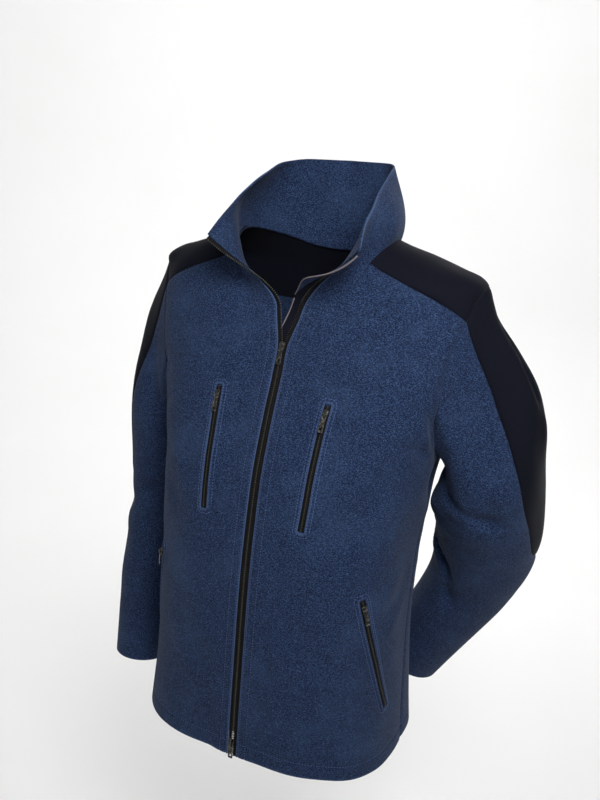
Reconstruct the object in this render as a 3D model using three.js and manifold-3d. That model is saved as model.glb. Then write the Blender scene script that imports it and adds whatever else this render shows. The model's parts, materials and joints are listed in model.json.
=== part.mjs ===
// Outdoor jacket for a grown man, worn open at the neck: a hollow garment of felted wool with
// soft-shell shoulders and outer sleeves, a two-way front zip and four zipped pockets.
// Millimetres. +Z is up, the wearer faces -Y and the wearer's left is +X. The origin is the middle
// of the neck, level with the tops of the shoulders where they meet the collar.
import * as THREE from "three";
import Module from "manifold-3d";
import { mergeVertices } from "three/addons/utils/BufferGeometryUtils.js";

// ---------------------------------------------------------------- driving sizes
const WOOL = 2.4; // wall of the felted wool
const SOFT_SHELL = 1.6; // wall of the black soft-shell
const COLLAR_WALL = 3; // two layers of wool, sewn and turned
const SEAM_GAP = 0.4; // space between two pieces that are sewn together
const FRONT_EDGE = 6; // from the middle line to the edge of a closed front
const OPEN_FROM = -133; // height at which the zip's halves part
const HEM = { front: -678, back: -706 };

// Cross-sections of the body, from the hem up: half width, depth in front of and behind the
// middle line, how far that line lies behind the neck, and the power that rounds the corners.
const BODY_SECTIONS = [
  { z: -700, half: 188, front: 161, back: 136, middle: -25, power: 2.9 },
  { z: -560, half: 177, front: 157, back: 128, middle: -23, power: 2.8 },
  { z: -430, half: 174, front: 153, back: 118, middle: -20, power: 2.9 },
  { z: -300, half: 184, front: 143, back: 122, middle: -12, power: 3.1 },
  { z: -222, half: 194, front: 125, back: 124, middle: -6, power: 3.1 },
  { z: -165, half: 207, front: 106, back: 118, middle: -2, power: 3.1 },
  { z: -120, half: 218, front: 93, back: 107, middle: 0, power: 2.9 },
  { z: -85, half: 223, front: 83, back: 96, middle: 2, power: 2.7 },
  { z: -48, half: 224, front: 73, back: 82, middle: 4, power: 2.4 },
  { z: -20, half: 160, front: 66, back: 68, middle: 4, power: 2.1 },
  { z: 0, half: 104, front: 58, back: 60, middle: 4, power: 2 },
  { z: 30, half: 40, front: 40, back: 40, middle: 4, power: 2 },
];

// The neckline seen from above, turned from the front. Its front ends stand apart.
const NECK = {
  half: 106,
  front: 92,
  back: 66,
  middle: 8,
  frontPower: 2.8,
  backPower: 2.2,
  open: 17, // from the middle line to each front end
  corner: 89, // from the middle line to the front corner of the yoke
};

// The armhole seen from the side, turned from its top to the front. The black yoke spans the top.
const ARMHOLE = {
  middle: 6,
  front: 66,
  back: 64,
  lean: 11,
  top: -47,
  bottom: -267,
  yokeFront: 49,
  yokeBack: -59,
};
const YOKE_DROP = 6; // how far the back yoke seam dips in the middle

// The collar's top edge on the wearer's left, by the turn round the neck: its corner falls open.
const COLLAR_TOP = [
  { turn: 3, x: 99, y: -121, z: -8 },
  { turn: 30, x: 94, y: -92, z: 18 },
  { turn: 57, x: 89, y: -60, z: 39 },
  { turn: 75, x: 85, y: -32, z: 55 },
  { turn: 95, x: 83, y: 2, z: 71 },
  { turn: 118, x: 79, y: 40, z: 85 },
  { turn: 145, x: 58, y: 74, z: 91 },
  { turn: 180, x: 0, y: 92, z: 92 },
];
const COLLAR_BULGE = 12; // how far the collar's side swells between its two edges
const COLLAR_ROLL = 75; // how far its front corner first follows the chest

// Stations down each sleeve: its middle line, its half width across the arm and from front to
// back, and how far its seams turn towards the front. Both are written for the wearer's left, and
// the hanging one is mirrored.
const BENT_ARM = [
  { station: 1, x: 255, y: 34, z: -300, across: 68, deep: 75, twist: 0 },
  { station: 2, x: 254, y: 62, z: -360, across: 73, deep: 72, twist: 0 },
  { station: 3, x: 250, y: 88, z: -415, across: 71, deep: 68, twist: 0 },
  { station: 4, x: 239, y: 106, z: -465, across: 65, deep: 63, twist: 0 },
  { station: 5, x: 221, y: 117, z: -514, across: 60, deep: 58, twist: 0 },
  { station: 6, x: 198, y: 125, z: -563, across: 56, deep: 55, twist: 0 },
  { station: 7, x: 174, y: 131, z: -611, across: 52, deep: 51, twist: 0 },
  { station: 8, x: 150, y: 136, z: -660, across: 48, deep: 48, twist: 0 },
];
const HANGING_ARM = [
  { station: 1, x: 243, y: 33, z: -300, across: 53, deep: 75, twist: 12 },
  { station: 2, x: 246, y: 34, z: -360, across: 53, deep: 71, twist: 22 },
  { station: 3, x: 248, y: 29, z: -420, across: 51, deep: 67, twist: 34 },
  { station: 4, x: 250, y: 18, z: -480, across: 49, deep: 62, twist: 40 },
  { station: 5, x: 252, y: 5, z: -540, across: 47, deep: 57, twist: 40 },
  { station: 6, x: 253, y: -6, z: -600, across: 45, deep: 53, twist: 40 },
  { station: 7, x: 253, y: -16, z: -648, across: 43, deep: 50, twist: 40 },
  { station: 8, x: 253, y: -24, z: -692, across: 42, deep: 47, twist: 40 },
];
const HEAD_ROWS = [0, 0.12, 0.26, 0.4, 0.55, 0.7, 0.85];
const ARM_ROWS_DOWN = [1, 1.5, 2, 2.5, 3, 3.4, 3.8, 3.86, 4.5, 5.2, 5.9, 6.6, 7.3, 8];
const SLEEVE_ROWS = [...HEAD_ROWS, ...ARM_ROWS_DOWN];

// How far a sleeve's head leaves the armhole outwards, and how far its outer side swells.
const BENT_HEAD = { leave: 1.35, swell: 15 };
const HANGING_HEAD = { leave: 1.1, swell: 0 };
const TIP = 3.8; // station where the black panel of a sleeve ends

// Front and back edges of that panel, as turns round the arm, at stations down the sleeve.
const ARM_PANEL = [
  { station: 0, front: 49, back: -59 },
  { station: 0.15, front: 69, back: -66 },
  { station: 0.35, front: 76, back: -72 },
  { station: 0.55, front: 70, back: -76 },
  { station: 1, front: 39, back: -80 },
  { station: 1.5, front: 34, back: -80 },
  { station: 2, front: 29, back: -76 },
  { station: 2.5, front: 19, back: -68 },
  { station: 3, front: -6, back: -57 },
  { station: 3.8, front: -28, back: -34 },
  { station: 3.86, front: -31, back: -31 },
];

// The largest folds: soft troughs and ridges, each along a straight line.
const FOLDS = [
  { x1: 190, y1: -5, z1: -300, x2: 272, y2: -33, z2: -332, high: -6, wide: 17 }, // inside the bent elbow
  { x1: 200, y1: -22, z1: -345, x2: 250, y2: -18, z2: -362, high: 5, wide: 20 },
  { x1: 196, y1: 46, z1: -428, x2: 212, y2: 50, z2: -500, high: -7, wide: 15 },
  { x1: 300, y1: 110, z1: -395, x2: 262, y2: 160, z2: -432, high: -4, wide: 20 },
  { x1: 250, y1: 160, z1: -470, x2: 205, y2: 178, z2: -520, high: -4, wide: 18 },
  { x1: 188, y1: -52, z1: -205, x2: 190, y2: -40, z2: -246, high: -4, wide: 14 }, // front of the armholes
  { x1: -188, y1: -52, z1: -190, x2: -190, y2: -44, z2: -225, high: -3, wide: 14 },
  { x1: -208, y1: -36, z1: -400, x2: -286, y2: -20, z2: -432, high: -5, wide: 18 }, // the hanging elbow
  { x1: -212, y1: -40, z1: -470, x2: -280, y2: -34, z2: -492, high: -4, wide: 18 },
  { x1: -222, y1: 84, z1: -388, x2: -276, y2: 78, z2: -420, high: -4, wide: 20 },
  { x1: 168, y1: -80, z1: -262, x2: 118, y2: -150, z2: -345, high: -5, wide: 26 }, // the body's sides
  { x1: -165, y1: -86, z1: -280, x2: -128, y2: -144, z2: -390, high: -4, wide: 28 },
  { x1: 70, y1: 120, z1: -190, x2: 98, y2: 100, z2: -470, high: -5, wide: 27 }, // the back
  { x1: -56, y1: 124, z1: -170, x2: -84, y2: 106, z2: -430, high: -5, wide: 30 },
  { x1: -20, y1: 108, z1: -440, x2: -34, y2: 110, z2: -690, high: -4, wide: 28 },
  { x1: 60, y1: 104, z1: -500, x2: 74, y2: 106, z2: -690, high: 4, wide: 26 },
];

// Pocket zips on the wearer's left, by the turn round the body and the height of their two ends.
const CHEST_POCKET = { topTurn: 12.5, topZ: -193, bottomTurn: 13, bottomZ: -343 };
const HAND_POCKET = { topTurn: 49.5, topZ: -427, bottomTurn: 74, bottomZ: -600 };

const TAPE = { wide: 8.4, thick: 0.6, lift: 0.5 };
const CHAIN = { wide: 3.4, thick: 1 };
const SLIDER = { wide: 7.4, long: 11, thick: 1.8, bridge: 2, reach: 7, gap: 2, arch: 1 };
const PULL = { wide: 6.4, long: 23, thick: 1.2, slot: 5.2, side: 1.5, foot: 7.4 };
const EYE = { radius: 1.5, up: 4.2 }; // hole near the foot of a pull

// The front zip's parts, from the cloth's edge towards the middle and above the cloth's face.
const ZIP_TAPE = { from: 0.5, reach: 2.7, low: -2, high: -1.2 };
const ZIP_CHAIN = { from: 3.2, reach: 5.8, low: -2.2, high: 0 };
const FRONT_SLIDERS = { front_top: -135, front_bottom: -656 };

// The wind flap's section up the wearer's left, by the share of the way up the collar, with -1 a
// little below it: where it begins and ends beside the cloth's edge, its level, and the end of
// the facing beside it.
const FLAP_TURN = 60;
const FLAP_THICK = 1;
const FLAP = [
  { share: -1, from: -12, reach: 19, high: -3.3, facing: 19 },
  { share: 0, from: 0.8, reach: 18, high: -3.8, facing: 18 },
  { share: 0.16, from: 6.3, reach: 16, high: -3.6, facing: 20 },
  { share: 0.33, from: 6.3, reach: 13, high: -1.2, facing: 22 },
  { share: 0.65, from: 6.3, reach: 9.5, high: -1.2, facing: 19 },
  { share: 1, from: 6.3, reach: 7.5, high: -1.2, facing: 10.5 },
];
const PIECE_GAP = 0.3; // space between a hard piece and what it lies on
const POCKET_ROWS = 14; // steps along a pocket's zip

const BLUE = { color: 0x34496f, roughness: 0.95, metalness: 0 };
const BLACK = { color: 0x15161c, roughness: 0.7, metalness: 0 };
const COIL = { color: 0x1b1c1e, roughness: 0.45, metalness: 0 };
const METAL = { color: 0x3b3c3a, roughness: 0.35, metalness: 0.8 };

// ---------------------------------------------------------------- small tools
const wasm = await Module();
wasm.setup();
const radians = THREE.MathUtils.degToRad;
const lerp = THREE.MathUtils.lerp;
const clamp = THREE.MathUtils.clamp;
const vec = (x, y, z) => new THREE.Vector3(x, y, z);
const range = (count) => Array.from({ length: count }, (_, i) => i);
const steps = (from, to, count) => range(count + 1).map((i) => lerp(from, to, i / count));
const jacket = new THREE.Group();

// One column of a table as a smooth function of its key, without overshoot.
function column(table, key, name) {
  const x = table.map((row) => row[key]);
  const y = table.map((row) => row[name]);
  const steep = x.slice(1).map((v, i) => (y[i + 1] - y[i]) / (v - x[i]));
  const slope = x.map((_, i) => {
    if (i === 0) return steep[0];
    if (i === x.length - 1) return steep[i - 1];
    if (steep[i - 1] * steep[i] <= 0) return 0;
    return 2 / (1 / steep[i - 1] + 1 / steep[i]);
  });
  return (at) => {
    const inside = clamp(at, x[0], x[x.length - 1]);
    let i = 0;
    while (i < x.length - 2 && inside > x[i + 1]) i += 1;
    const span = x[i + 1] - x[i];
    const t = (inside - x[i]) / span;
    const rise = (1 - t) * (1 - t) * (1 + 2 * t) * y[i] + t * t * (3 - 2 * t) * y[i + 1];
    return rise + span * t * (1 - t) * ((1 - t) * slope[i] - t * slope[i + 1]);
  };
}

function columns(table, key) {
  const names = Object.keys(table[0]).filter((name) => name !== key);
  return Object.fromEntries(names.map((name) => [name, column(table, key, name)]));
}

// Values between two ends of a curve that part it into steps of one length.
function evenSteps(curve, from, to, count) {
  const fine = steps(from, to, 300);
  const far = [0];
  fine.slice(1).forEach((v, i) => far.push(far[i] + curve(v).distanceTo(curve(fine[i]))));
  return range(count + 1).map((k) => {
    const at = (far[far.length - 1] * k) / count;
    let i = 0;
    while (i < far.length - 2 && far[i + 1] < at) i += 1;
    return lerp(fine[i], fine[i + 1], (at - far[i]) / (far[i + 1] - far[i]));
  });
}

// ---------------------------------------------------------------- the body's surface
const body = columns(BODY_SECTIONS, "z");

// Below 1 inside the body's cloth, 1 on it and above 1 outside.
function bodyReach(p) {
  const behind = p.y - body.middle(p.z);
  const depth = behind < 0 ? body.front(p.z) : body.back(p.z);
  const power = body.power(p.z);
  return (Math.abs(p.x) / body.half(p.z)) ** power + (Math.abs(behind) / depth) ** power;
}

function bodyGradient(p) {
  const step = 0.5;
  const change = (dx, dy, dz) =>
    bodyReach(vec(p.x + dx, p.y + dy, p.z + dz)) - bodyReach(vec(p.x - dx, p.y - dy, p.z - dz));
  return vec(change(step, 0, 0), change(0, step, 0), change(0, 0, step)).divideScalar(2 * step);
}

const bodyNormal = (p) => bodyGradient(p).normalize();

// Slides a point that is near the body onto its cloth.
function ontoBody(p) {
  const q = p.clone();
  range(16).forEach(() => {
    const way = bodyGradient(q);
    const short = clamp((1 - bodyReach(q)) / way.length(), -20, 20);
    q.addScaledVector(way.normalize(), short);
  });
  return q;
}

// The half width of the body's cloth at a depth and a height.
function sideAt(y, z) {
  const behind = y - body.middle(z);
  const depth = behind < 0 ? body.front(z) : body.back(z);
  const share = 1 - (Math.abs(behind) / depth) ** body.power(z);
  return vec(body.half(z) * Math.max(share, 0) ** (1 / body.power(z)), y, z);
}

// The front or back of the body's cloth at a distance from the middle line and a height.
function faceAt(x, z, behind = false) {
  const left = Math.max(1 - (Math.abs(x) / body.half(z)) ** body.power(z), 0);
  const depth = behind ? body.back(z) : -body.front(z);
  return vec(x, body.middle(z) + depth * left ** (1 / body.power(z)), z);
}

// ---------------------------------------------------------------- seam lines
function powered(value, power) {
  return Math.sign(value) * Math.abs(value) ** (2 / power);
}

// The neckline at a turn round the neck: 0 at the front, 90 at the wearer's left.
function neckline(turn) {
  const cosine = Math.cos(radians(turn));
  const power = cosine > 0 ? NECK.frontPower : NECK.backPower;
  const depth = cosine > 0 ? NECK.front : NECK.back;
  const across = NECK.half * powered(Math.sin(radians(turn)), power);
  const at = vec(across, NECK.middle - depth * powered(cosine, power), 0);
  let low = -140;
  let high = 29;
  range(40).forEach(() => {
    at.z = (low + high) / 2;
    if (bodyReach(at) < 1) low = at.z;
    else high = at.z;
  });
  return at;
}

// The turn at which the front of the neckline is this far from the middle line.
function neckTurn(x) {
  return THREE.MathUtils.radToDeg(Math.asin((x / NECK.half) ** (NECK.frontPower / 2)));
}

// The left armhole at a turn round it: 0 at the top, 90 at the front and 180 under the arm.
function armhole(turn) {
  const sine = Math.sin(radians(turn));
  const cosine = Math.cos(radians(turn));
  const deep = sine > 0 ? ARMHOLE.front - ARMHOLE.lean * cosine : ARMHOLE.back;
  return sideAt(ARMHOLE.middle - deep * sine, lerp(ARMHOLE.bottom, ARMHOLE.top, (1 + cosine) / 2));
}

// The left side seam at a share of the way from the hem to the armhole.
function sideSeam(share) {
  const z = lerp(hemAt(90), ARMHOLE.bottom, share);
  return sideAt(lerp(body.middle(z), ARMHOLE.middle, share ** 3), z);
}

// The turn at which the front of the body is this far from the middle line.
function frontTurnAt(x, z) {
  return THREE.MathUtils.radToDeg(Math.asin((x / body.half(z)) ** (body.power(z) / 2)));
}

function hemAt(turn) {
  return lerp(HEM.front, HEM.back, (1 - Math.cos(radians(turn))) / 2);
}

// The body's cloth at a height and a turn: 0 at the front, 90 at the left side and 180 behind.
function roundAt(turn, z) {
  const cosine = Math.cos(radians(turn));
  const depth = cosine > 0 ? body.front(z) : body.back(z);
  const x = body.half(z) * powered(Math.sin(radians(turn)), body.power(z));
  return vec(x, body.middle(z) - depth * powered(cosine, body.power(z)), z);
}

// ---------------------------------------------------------------- sleeves
function sleeve(table, head) {
  const at = columns(table, "station");
  const centre = (station) => vec(at.x(station), at.y(station), at.z(station));
  const last = table[table.length - 1].station;
  const ring = (turn, station) => {
    const low = clamp(station - 0.05, 1, last);
    const high = clamp(station + 0.05, 1, last);
    const way = centre(high).sub(centre(low)).normalize();
    const fore = vec(0, -1, 0).addScaledVector(way, way.y).normalize();
    const out = fore.clone().cross(way);
    const angle = radians(turn + at.twist(station));
    return centre(station)
      .addScaledVector(out, at.across(station) * Math.cos(angle))
      .addScaledVector(fore, at.deep(station) * Math.sin(angle));
  };
  const surface = (turn, station) => {
    if (station >= 1) return ring(turn, station);
    const start = armhole(turn);
    const end = ring(turn, 1);
    const seam = armhole(turn + 1).sub(armhole(turn - 1)).normalize();
    const under = clamp(-1.6 * Math.cos(radians(turn)), 0, 1);
    const leave = bodyNormal(start).cross(seam).lerp(vec(0.8, 0, -0.6), under).add(vec(0.2, 0, 0));
    const outer = Math.max(Math.cos(radians(turn)), 0);
    const swell = head.swell * outer * Math.sin(Math.PI * station) ** 2;
    const arrive = ring(turn, 1.1).sub(end);
    const far = start.distanceTo(end);
    const t = station;
    return start
      .multiplyScalar((1 - t) ** 2 * (1 + 2 * t))
      .addScaledVector(end, t * t * (3 - 2 * t))
      .addScaledVector(leave.normalize(), head.leave * far * t * (1 - t) ** 2)
      .addScaledVector(arrive.normalize(), -far * t * t * (1 - t))
      .add(vec(swell, 0, swell / 3));
  };
  const normal = (turn, station) => {
    const step = 0.01;
    const round = surface(turn + 1, station).sub(surface(turn - 1, station));
    const below = surface(turn, Math.min(station + step, last));
    const down = below.sub(surface(turn, Math.max(station - step, 0)));
    return round.cross(down).normalize();
  };
  // At the armhole the sleeve's wall and the body's end on one slanted face.
  const seamOut = (turn) => normal(turn, 0).add(bodyNormal(armhole(turn))).normalize();
  const point = (turn, station) => ({
    at: surface(turn, station),
    out: station === 0 ? seamOut(turn) : normal(turn, station),
  });
  return { point, seamOut };
}

const leftArm = sleeve(BENT_ARM, BENT_HEAD);
const rightArm = sleeve(HANGING_ARM, HANGING_HEAD);
const panelEdge = columns(ARM_PANEL, "station");

// ---------------------------------------------------------------- grids of cloth
const SIDE_ROWS = 12; // rows of a front or back below the armhole
const ARM_ROWS = 8; // rows of a front or back beside the armhole
const YOKE_ROWS = 7; // rows of the yoke, from the neck to the armhole
const YOKE_TOP = 7; // columns of the yoke that meet a sleeve
const BACK_COLUMNS = 14;
const NECK_COLUMNS = 5; // columns of the collar that a front meets
const COLLAR_ROWS = 6;

const frontEdgeTurn = neckTurn(NECK.open);
const cornerTurn = neckTurn(NECK.corner);
const frontTurns = evenSteps(neckline, frontEdgeTurn, cornerTurn, NECK_COLUMNS);
const yokeTurns = evenSteps(neckline, cornerTurn, 360 - cornerTurn, 2 * YOKE_TOP + BACK_COLUMNS);
const armTurns = {
  top: evenSteps(armhole, ARMHOLE.yokeFront, ARMHOLE.yokeBack, YOKE_TOP),
  front: evenSteps(armhole, 180, ARMHOLE.yokeFront, ARM_ROWS),
  back: evenSteps(armhole, 180, 360 + ARMHOLE.yokeBack, ARM_ROWS),
};

const laid = (p) => ({ at: p, out: bodyNormal(p) });
const mirroredPoint = (p) => ({ at: p.at.clone().setX(-p.at.x), out: p.out.clone().setX(-p.out.x) });
const mirrored = (grid) => grid.map((row) => row.map(mirroredPoint));

// A grid on the body between four lists of points: low and high run across, left and right run up.
function patch(low, high, left, right) {
  const up = left.length - 1;
  const across = low.length - 1;
  return range(up + 1).map((j) =>
    range(across + 1).map((i) => {
      const s = i / across;
      const t = j / up;
      if (i === 0) return laid(left[j]);
      if (i === across) return laid(right[j]);
      if (j === 0) return laid(low[i]);
      if (j === up) return laid(high[i]);
      const p = low[i].clone().multiplyScalar(1 - t).addScaledVector(high[i], t);
      p.addScaledVector(left[j], 1 - s).addScaledVector(right[j], s);
      p.addScaledVector(low[0], -(1 - s) * (1 - t)).addScaledVector(low[across], -s * (1 - t));
      p.addScaledVector(high[0], -(1 - s) * t).addScaledVector(high[across], -s * t);
      return laid(ontoBody(p));
    }),
  );
}

// Side seam and armhole of a front or a back, from the hem up.
function sideLine(turns) {
  const below = range(SIDE_ROWS).map((i) => sideSeam(i / SIDE_ROWS));
  return [...below, ...turns.map(armhole)];
}

const yokeSeam = range(YOKE_ROWS + 1).map((k) =>
  ontoBody(neckline(cornerTurn).lerp(armhole(ARMHOLE.yokeFront), k / YOKE_ROWS)),
);

function front(arm) {
  const side = sideLine(armTurns.front);
  const top = [...frontTurns.map(neckline), ...yokeSeam.slice(1)];
  const edgeTop = top[0].z;
  const below = steps(HEM.front, ARMHOLE.bottom, SIDE_ROWS).slice(0, -1);
  const open = (edgeTop - ARMHOLE.bottom) / ARM_ROWS;
  const edge = [...below, ...range(ARM_ROWS + 1).map((i) => ARMHOLE.bottom + i * open)].map((z) =>
    faceAt(lerp(FRONT_EDGE, NECK.open, clamp((z - OPEN_FROM) / (edgeTop - OPEN_FROM), 0, 1)), z),
  );
  const hemTurn = (turn) => roundAt(turn, hemAt(turn));
  const first = frontTurnAt(FRONT_EDGE, HEM.front);
  const hem = evenSteps(hemTurn, first, 90, top.length - 1).map(hemTurn);
  const grid = patch(hem, top, edge, side);
  armTurns.front.forEach((turn, i) => {
    grid[SIDE_ROWS + i][top.length - 1].out = arm.seamOut(turn);
  });
  return grid;
}

function back() {
  const left = sideLine(armTurns.back);
  const right = left.map((p) => p.clone().setX(-p.x));
  const corner = left[left.length - 1];
  const seamZ = (s) => corner.z - YOKE_DROP * (1 - s * s);
  const top = steps(1, -1, BACK_COLUMNS).map((s) => faceAt(corner.x * s, seamZ(s), true));
  const hemTurn = (turn) => roundAt(turn, hemAt(turn));
  const hem = evenSteps(hemTurn, 90, 270, BACK_COLUMNS).map(hemTurn);
  const grid = patch(hem, top, left, right);
  armTurns.back.forEach((turn, i) => {
    grid[SIDE_ROWS + i][0].out = leftArm.seamOut(turn);
    grid[SIDE_ROWS + i][BACK_COLUMNS].out = mirroredPoint({ at: left[0], out: rightArm.seamOut(turn) }).out;
  });
  return grid;
}

// The yoke runs round the neck from one front seam to the other, and its rows run outwards.
function yoke(backTop) {
  const side = (arm) => armTurns.top.map((turn) => ({ at: armhole(turn), out: arm.seamOut(turn) }));
  const leftSide = side(leftArm);
  const rightSide = side(rightArm).map(mirroredPoint);
  const outer = [...leftSide, ...backTop.slice(1, -1), ...rightSide.reverse()];
  return range(YOKE_ROWS + 1).map((j) =>
    outer.map((end, i) => {
      if (j === YOKE_ROWS) return end;
      const start = neckline(yokeTurns[i]);
      return laid(j === 0 ? start : ontoBody(start.lerp(end.at, j / YOKE_ROWS)));
    }),
  );
}

const collarTop = columns(COLLAR_TOP, "turn");

// The collar at a turn round the neck and a share of its height.
function collarAt(turn, share) {
  const onLeft = turn <= 180 ? turn : 360 - turn;
  const base = neckline(onLeft);
  const top = vec(collarTop.x(onLeft), collarTop.y(onLeft), collarTop.z(onLeft));
  const seam = neckline(onLeft + 1).sub(neckline(onLeft - 1)).normalize();
  const upChest = seam.clone().cross(bodyNormal(base)).multiplyScalar(-COLLAR_ROLL);
  const rise = top.clone().sub(base);
  const side = Math.sin(radians(clamp(onLeft, 0, 180)));
  const swell = vec(side, -Math.cos(radians(onLeft)), 0).multiplyScalar(4 * COLLAR_BULGE * side ** 2);
  const rolled = clamp((cornerTurn + 25 - onLeft) / (cornerTurn + 25), 0, 1) ** 0.7;
  const leave = rise.clone().add(swell).lerp(upChest, rolled);
  const arrive = rise.clone().sub(swell);
  const p = base.multiplyScalar((1 - share) ** 2 * (1 + 2 * share));
  p.addScaledVector(top, share ** 2 * (3 - 2 * share));
  p.addScaledVector(leave, share * (1 - share) ** 2).addScaledVector(arrive, -(share ** 2) * (1 - share));
  return turn <= 180 ? p : p.setX(-p.x);
}

function collar() {
  const left = [...frontTurns, ...yokeTurns.slice(1, -1)];
  const turns = [...left, ...frontTurns.map((turn) => 360 - turn).reverse()];
  const step = 0.5;
  return steps(0, 1, COLLAR_ROWS).map((share) =>
    turns.map((turn) => {
      const round = collarAt(turn + step, share).sub(collarAt(turn - step, share));
      const up = collarAt(turn, Math.min(share + 0.01, 1)).sub(collarAt(turn, Math.max(share - 0.01, 0)));
      return { at: collarAt(turn, share), out: round.cross(up).normalize() };
    }),
  );
}

// The black panel from shoulder to elbow, or the blue cloth that goes round the rest of the arm.
function sleeveGrid(arm, isPanel) {
  const round = isPanel ? armTurns.top : [...armTurns.front].reverse().concat(armTurns.back.slice(1));
  const first = round[0];
  const whole = round[round.length - 1] - first;
  const rows = SLEEVE_ROWS.filter((station) => !isPanel || station <= TIP);
  return rows.map((station) => {
    const from = panelEdge.front(station);
    const to = panelEdge.back(station) + (isPanel ? 0 : 360);
    return round.map((turn) => arm.point(lerp(from, to, (turn - first) / whole), station));
  });
}

// ---------------------------------------------------------------- solids
// How far the folds push the cloth out at a point.
function foldAt(p) {
  return FOLDS.reduce((sum, fold) => {
    const a = vec(fold.x1, fold.y1, fold.z1);
    const way = vec(fold.x2, fold.y2, fold.z2).sub(a);
    const t = clamp(p.clone().sub(a).dot(way) / way.lengthSq(), 0, 1);
    const near = p.distanceTo(a.addScaledVector(way, t)) / fold.wide;
    return sum + fold.high * Math.exp(-near * near);
  }, 0);
}

function folded(grid) {
  const push = ({ at, out }) => ({ at: at.clone().addScaledVector(out, foldAt(at)), out });
  return grid.map((row) => row.map(push));
}

// A closed wall under a grid of points: its edges stand back by half of the seam gap.
function wall(grid, thick) {
  const lastRow = grid.length - 1;
  const lastColumn = grid[0].length - 1;
  const outer = grid.map((row, j) =>
    row.map((p, i) => {
      const moved = p.at.clone();
      const beside = i === 0 ? row[1] : i === lastColumn ? row[lastColumn - 1] : p;
      const above = j === 0 ? grid[1][i] : j === lastRow ? grid[lastRow - 1][i] : p;
      [beside, above].forEach((next) => {
        moved.addScaledVector(next.at.clone().sub(p.at).normalize(), SEAM_GAP / 2);
      });
      return moved;
    }),
  );
  const inner = outer.map((row, j) => row.map((p, i) => p.clone().addScaledVector(grid[j][i].out, -thick)));
  const rings = outer.map((row, j) => [...row, ...inner[j].slice().reverse()]);
  return closedRings(rings, lastColumn + 1);
}

// A closed solid through rings of points, each an outline of two equal halves.
function closedRings(rings, half) {
  const size = 2 * half;
  const index = [];
  const quad = (a, b, c, d) => index.push(a, b, c, a, c, d);
  rings.slice(1).forEach((_, j) => {
    range(size).forEach((i) => {
      const next = (i + 1) % size;
      quad(j * size + i, j * size + next, (j + 1) * size + next, (j + 1) * size + i);
    });
  });
  const end = (rings.length - 1) * size;
  range(half - 1).forEach((i) => {
    quad(i + 1, i, size - 1 - i, size - 2 - i);
    quad(end + i, end + i + 1, end + size - 2 - i, end + size - 1 - i);
  });
  const geometry = new THREE.BufferGeometry();
  const position = rings.flat().flatMap((p) => [p.x, p.y, p.z]);
  geometry.setAttribute("position", new THREE.Float32BufferAttribute(position, 3));
  geometry.setIndex(volume(position, index) < 0 ? index.reverse() : index);
  geometry.computeVertexNormals();
  return geometry;
}

function volume(position, index) {
  const corner = (k) => vec(0, 0, 0).fromArray(position, 3 * index[k]);
  const threes = range(index.length / 3).map((k) => 3 * k);
  return threes.reduce((sum, k) => sum + corner(k).dot(corner(k + 1).cross(corner(k + 2))), 0);
}

function add(name, geometry, look) {
  const mesh = new THREE.Mesh(geometry, new THREE.MeshStandardMaterial({ ...look, flatShading: true }));
  mesh.name = name;
  jacket.add(mesh);
  return mesh;
}

// A closed bar of four sides along an edge. Its section, between two distances across the edge and
// two levels above the cloth, may change with the share of the way up the collar.
function bar(edge, section) {
  const rings = edge.map(({ at, out, across, share }) => {
    const { from, reach, low, high } = section(share);
    return [[from, high], [reach, high], [reach, low], [from, low]].map(([side, rise]) =>
      at.clone().addScaledVector(across, side).addScaledVector(out, rise),
    );
  });
  return closedRings(rings, 2);
}

function solid(geometry) {
  const bare = geometry.clone();
  bare.deleteAttribute("normal");
  bare.deleteAttribute("uv");
  const merged = mergeVertices(bare, 1e-4);
  const vertProperties = new Float32Array(merged.getAttribute("position").array);
  const triVerts = new Uint32Array(merged.getIndex().array);
  return new wasm.Manifold(new wasm.Mesh({ numProp: 3, vertProperties, triVerts }));
}

function joined(first, second) {
  const mesh = solid(first).add(solid(second)).getMesh();
  const geometry = new THREE.BufferGeometry();
  geometry.setAttribute("position", new THREE.BufferAttribute(mesh.vertProperties, 3));
  geometry.setIndex(new THREE.BufferAttribute(mesh.triVerts, 1));
  geometry.computeVertexNormals();
  return geometry;
}

function outline(points) {
  return new THREE.Shape(points.map(([x, y]) => new THREE.Vector2(x, y)));
}

// A slider lies on a chain: x across the zip, y up it and z out of the cloth. Its bridge is an arch
// along the zip that the pull's bar goes under.
function sliderShape() {
  const half = SLIDER.wide / 2;
  const end = SLIDER.long / 2;
  const plate = outline([
    [-half, 0.5 * end],
    [-0.55 * half, end],
    [0.55 * half, end],
    [half, 0.5 * end],
    [0.75 * half, -end],
    [-0.75 * half, -end],
  ].reverse());
  const base = new THREE.ExtrudeGeometry(plate, { depth: SLIDER.thick, bevelEnabled: false });
  const reach = SLIDER.reach / 2;
  const sunk = -SLIDER.thick / 2;
  const top = SLIDER.gap + SLIDER.arch;
  const arch = outline([
    [-reach, sunk],
    [-reach + SLIDER.arch, sunk],
    [-reach + SLIDER.arch, SLIDER.gap],
    [reach - SLIDER.arch, SLIDER.gap],
    [reach - SLIDER.arch, sunk],
    [reach, sunk],
    [reach, 0.7 * top],
    [0.6 * reach, top],
    [-0.6 * reach, top],
    [-reach, 0.7 * top],
  ]);
  const bridge = new THREE.ExtrudeGeometry(arch, { depth: SLIDER.bridge, bevelEnabled: false });
  bridge.translate(0, 0, -SLIDER.bridge / 2);
  bridge.rotateX(Math.PI / 2);
  bridge.rotateZ(Math.PI / 2);
  bridge.translate(0, 0, SLIDER.thick);
  return joined(base, bridge);
}

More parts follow.
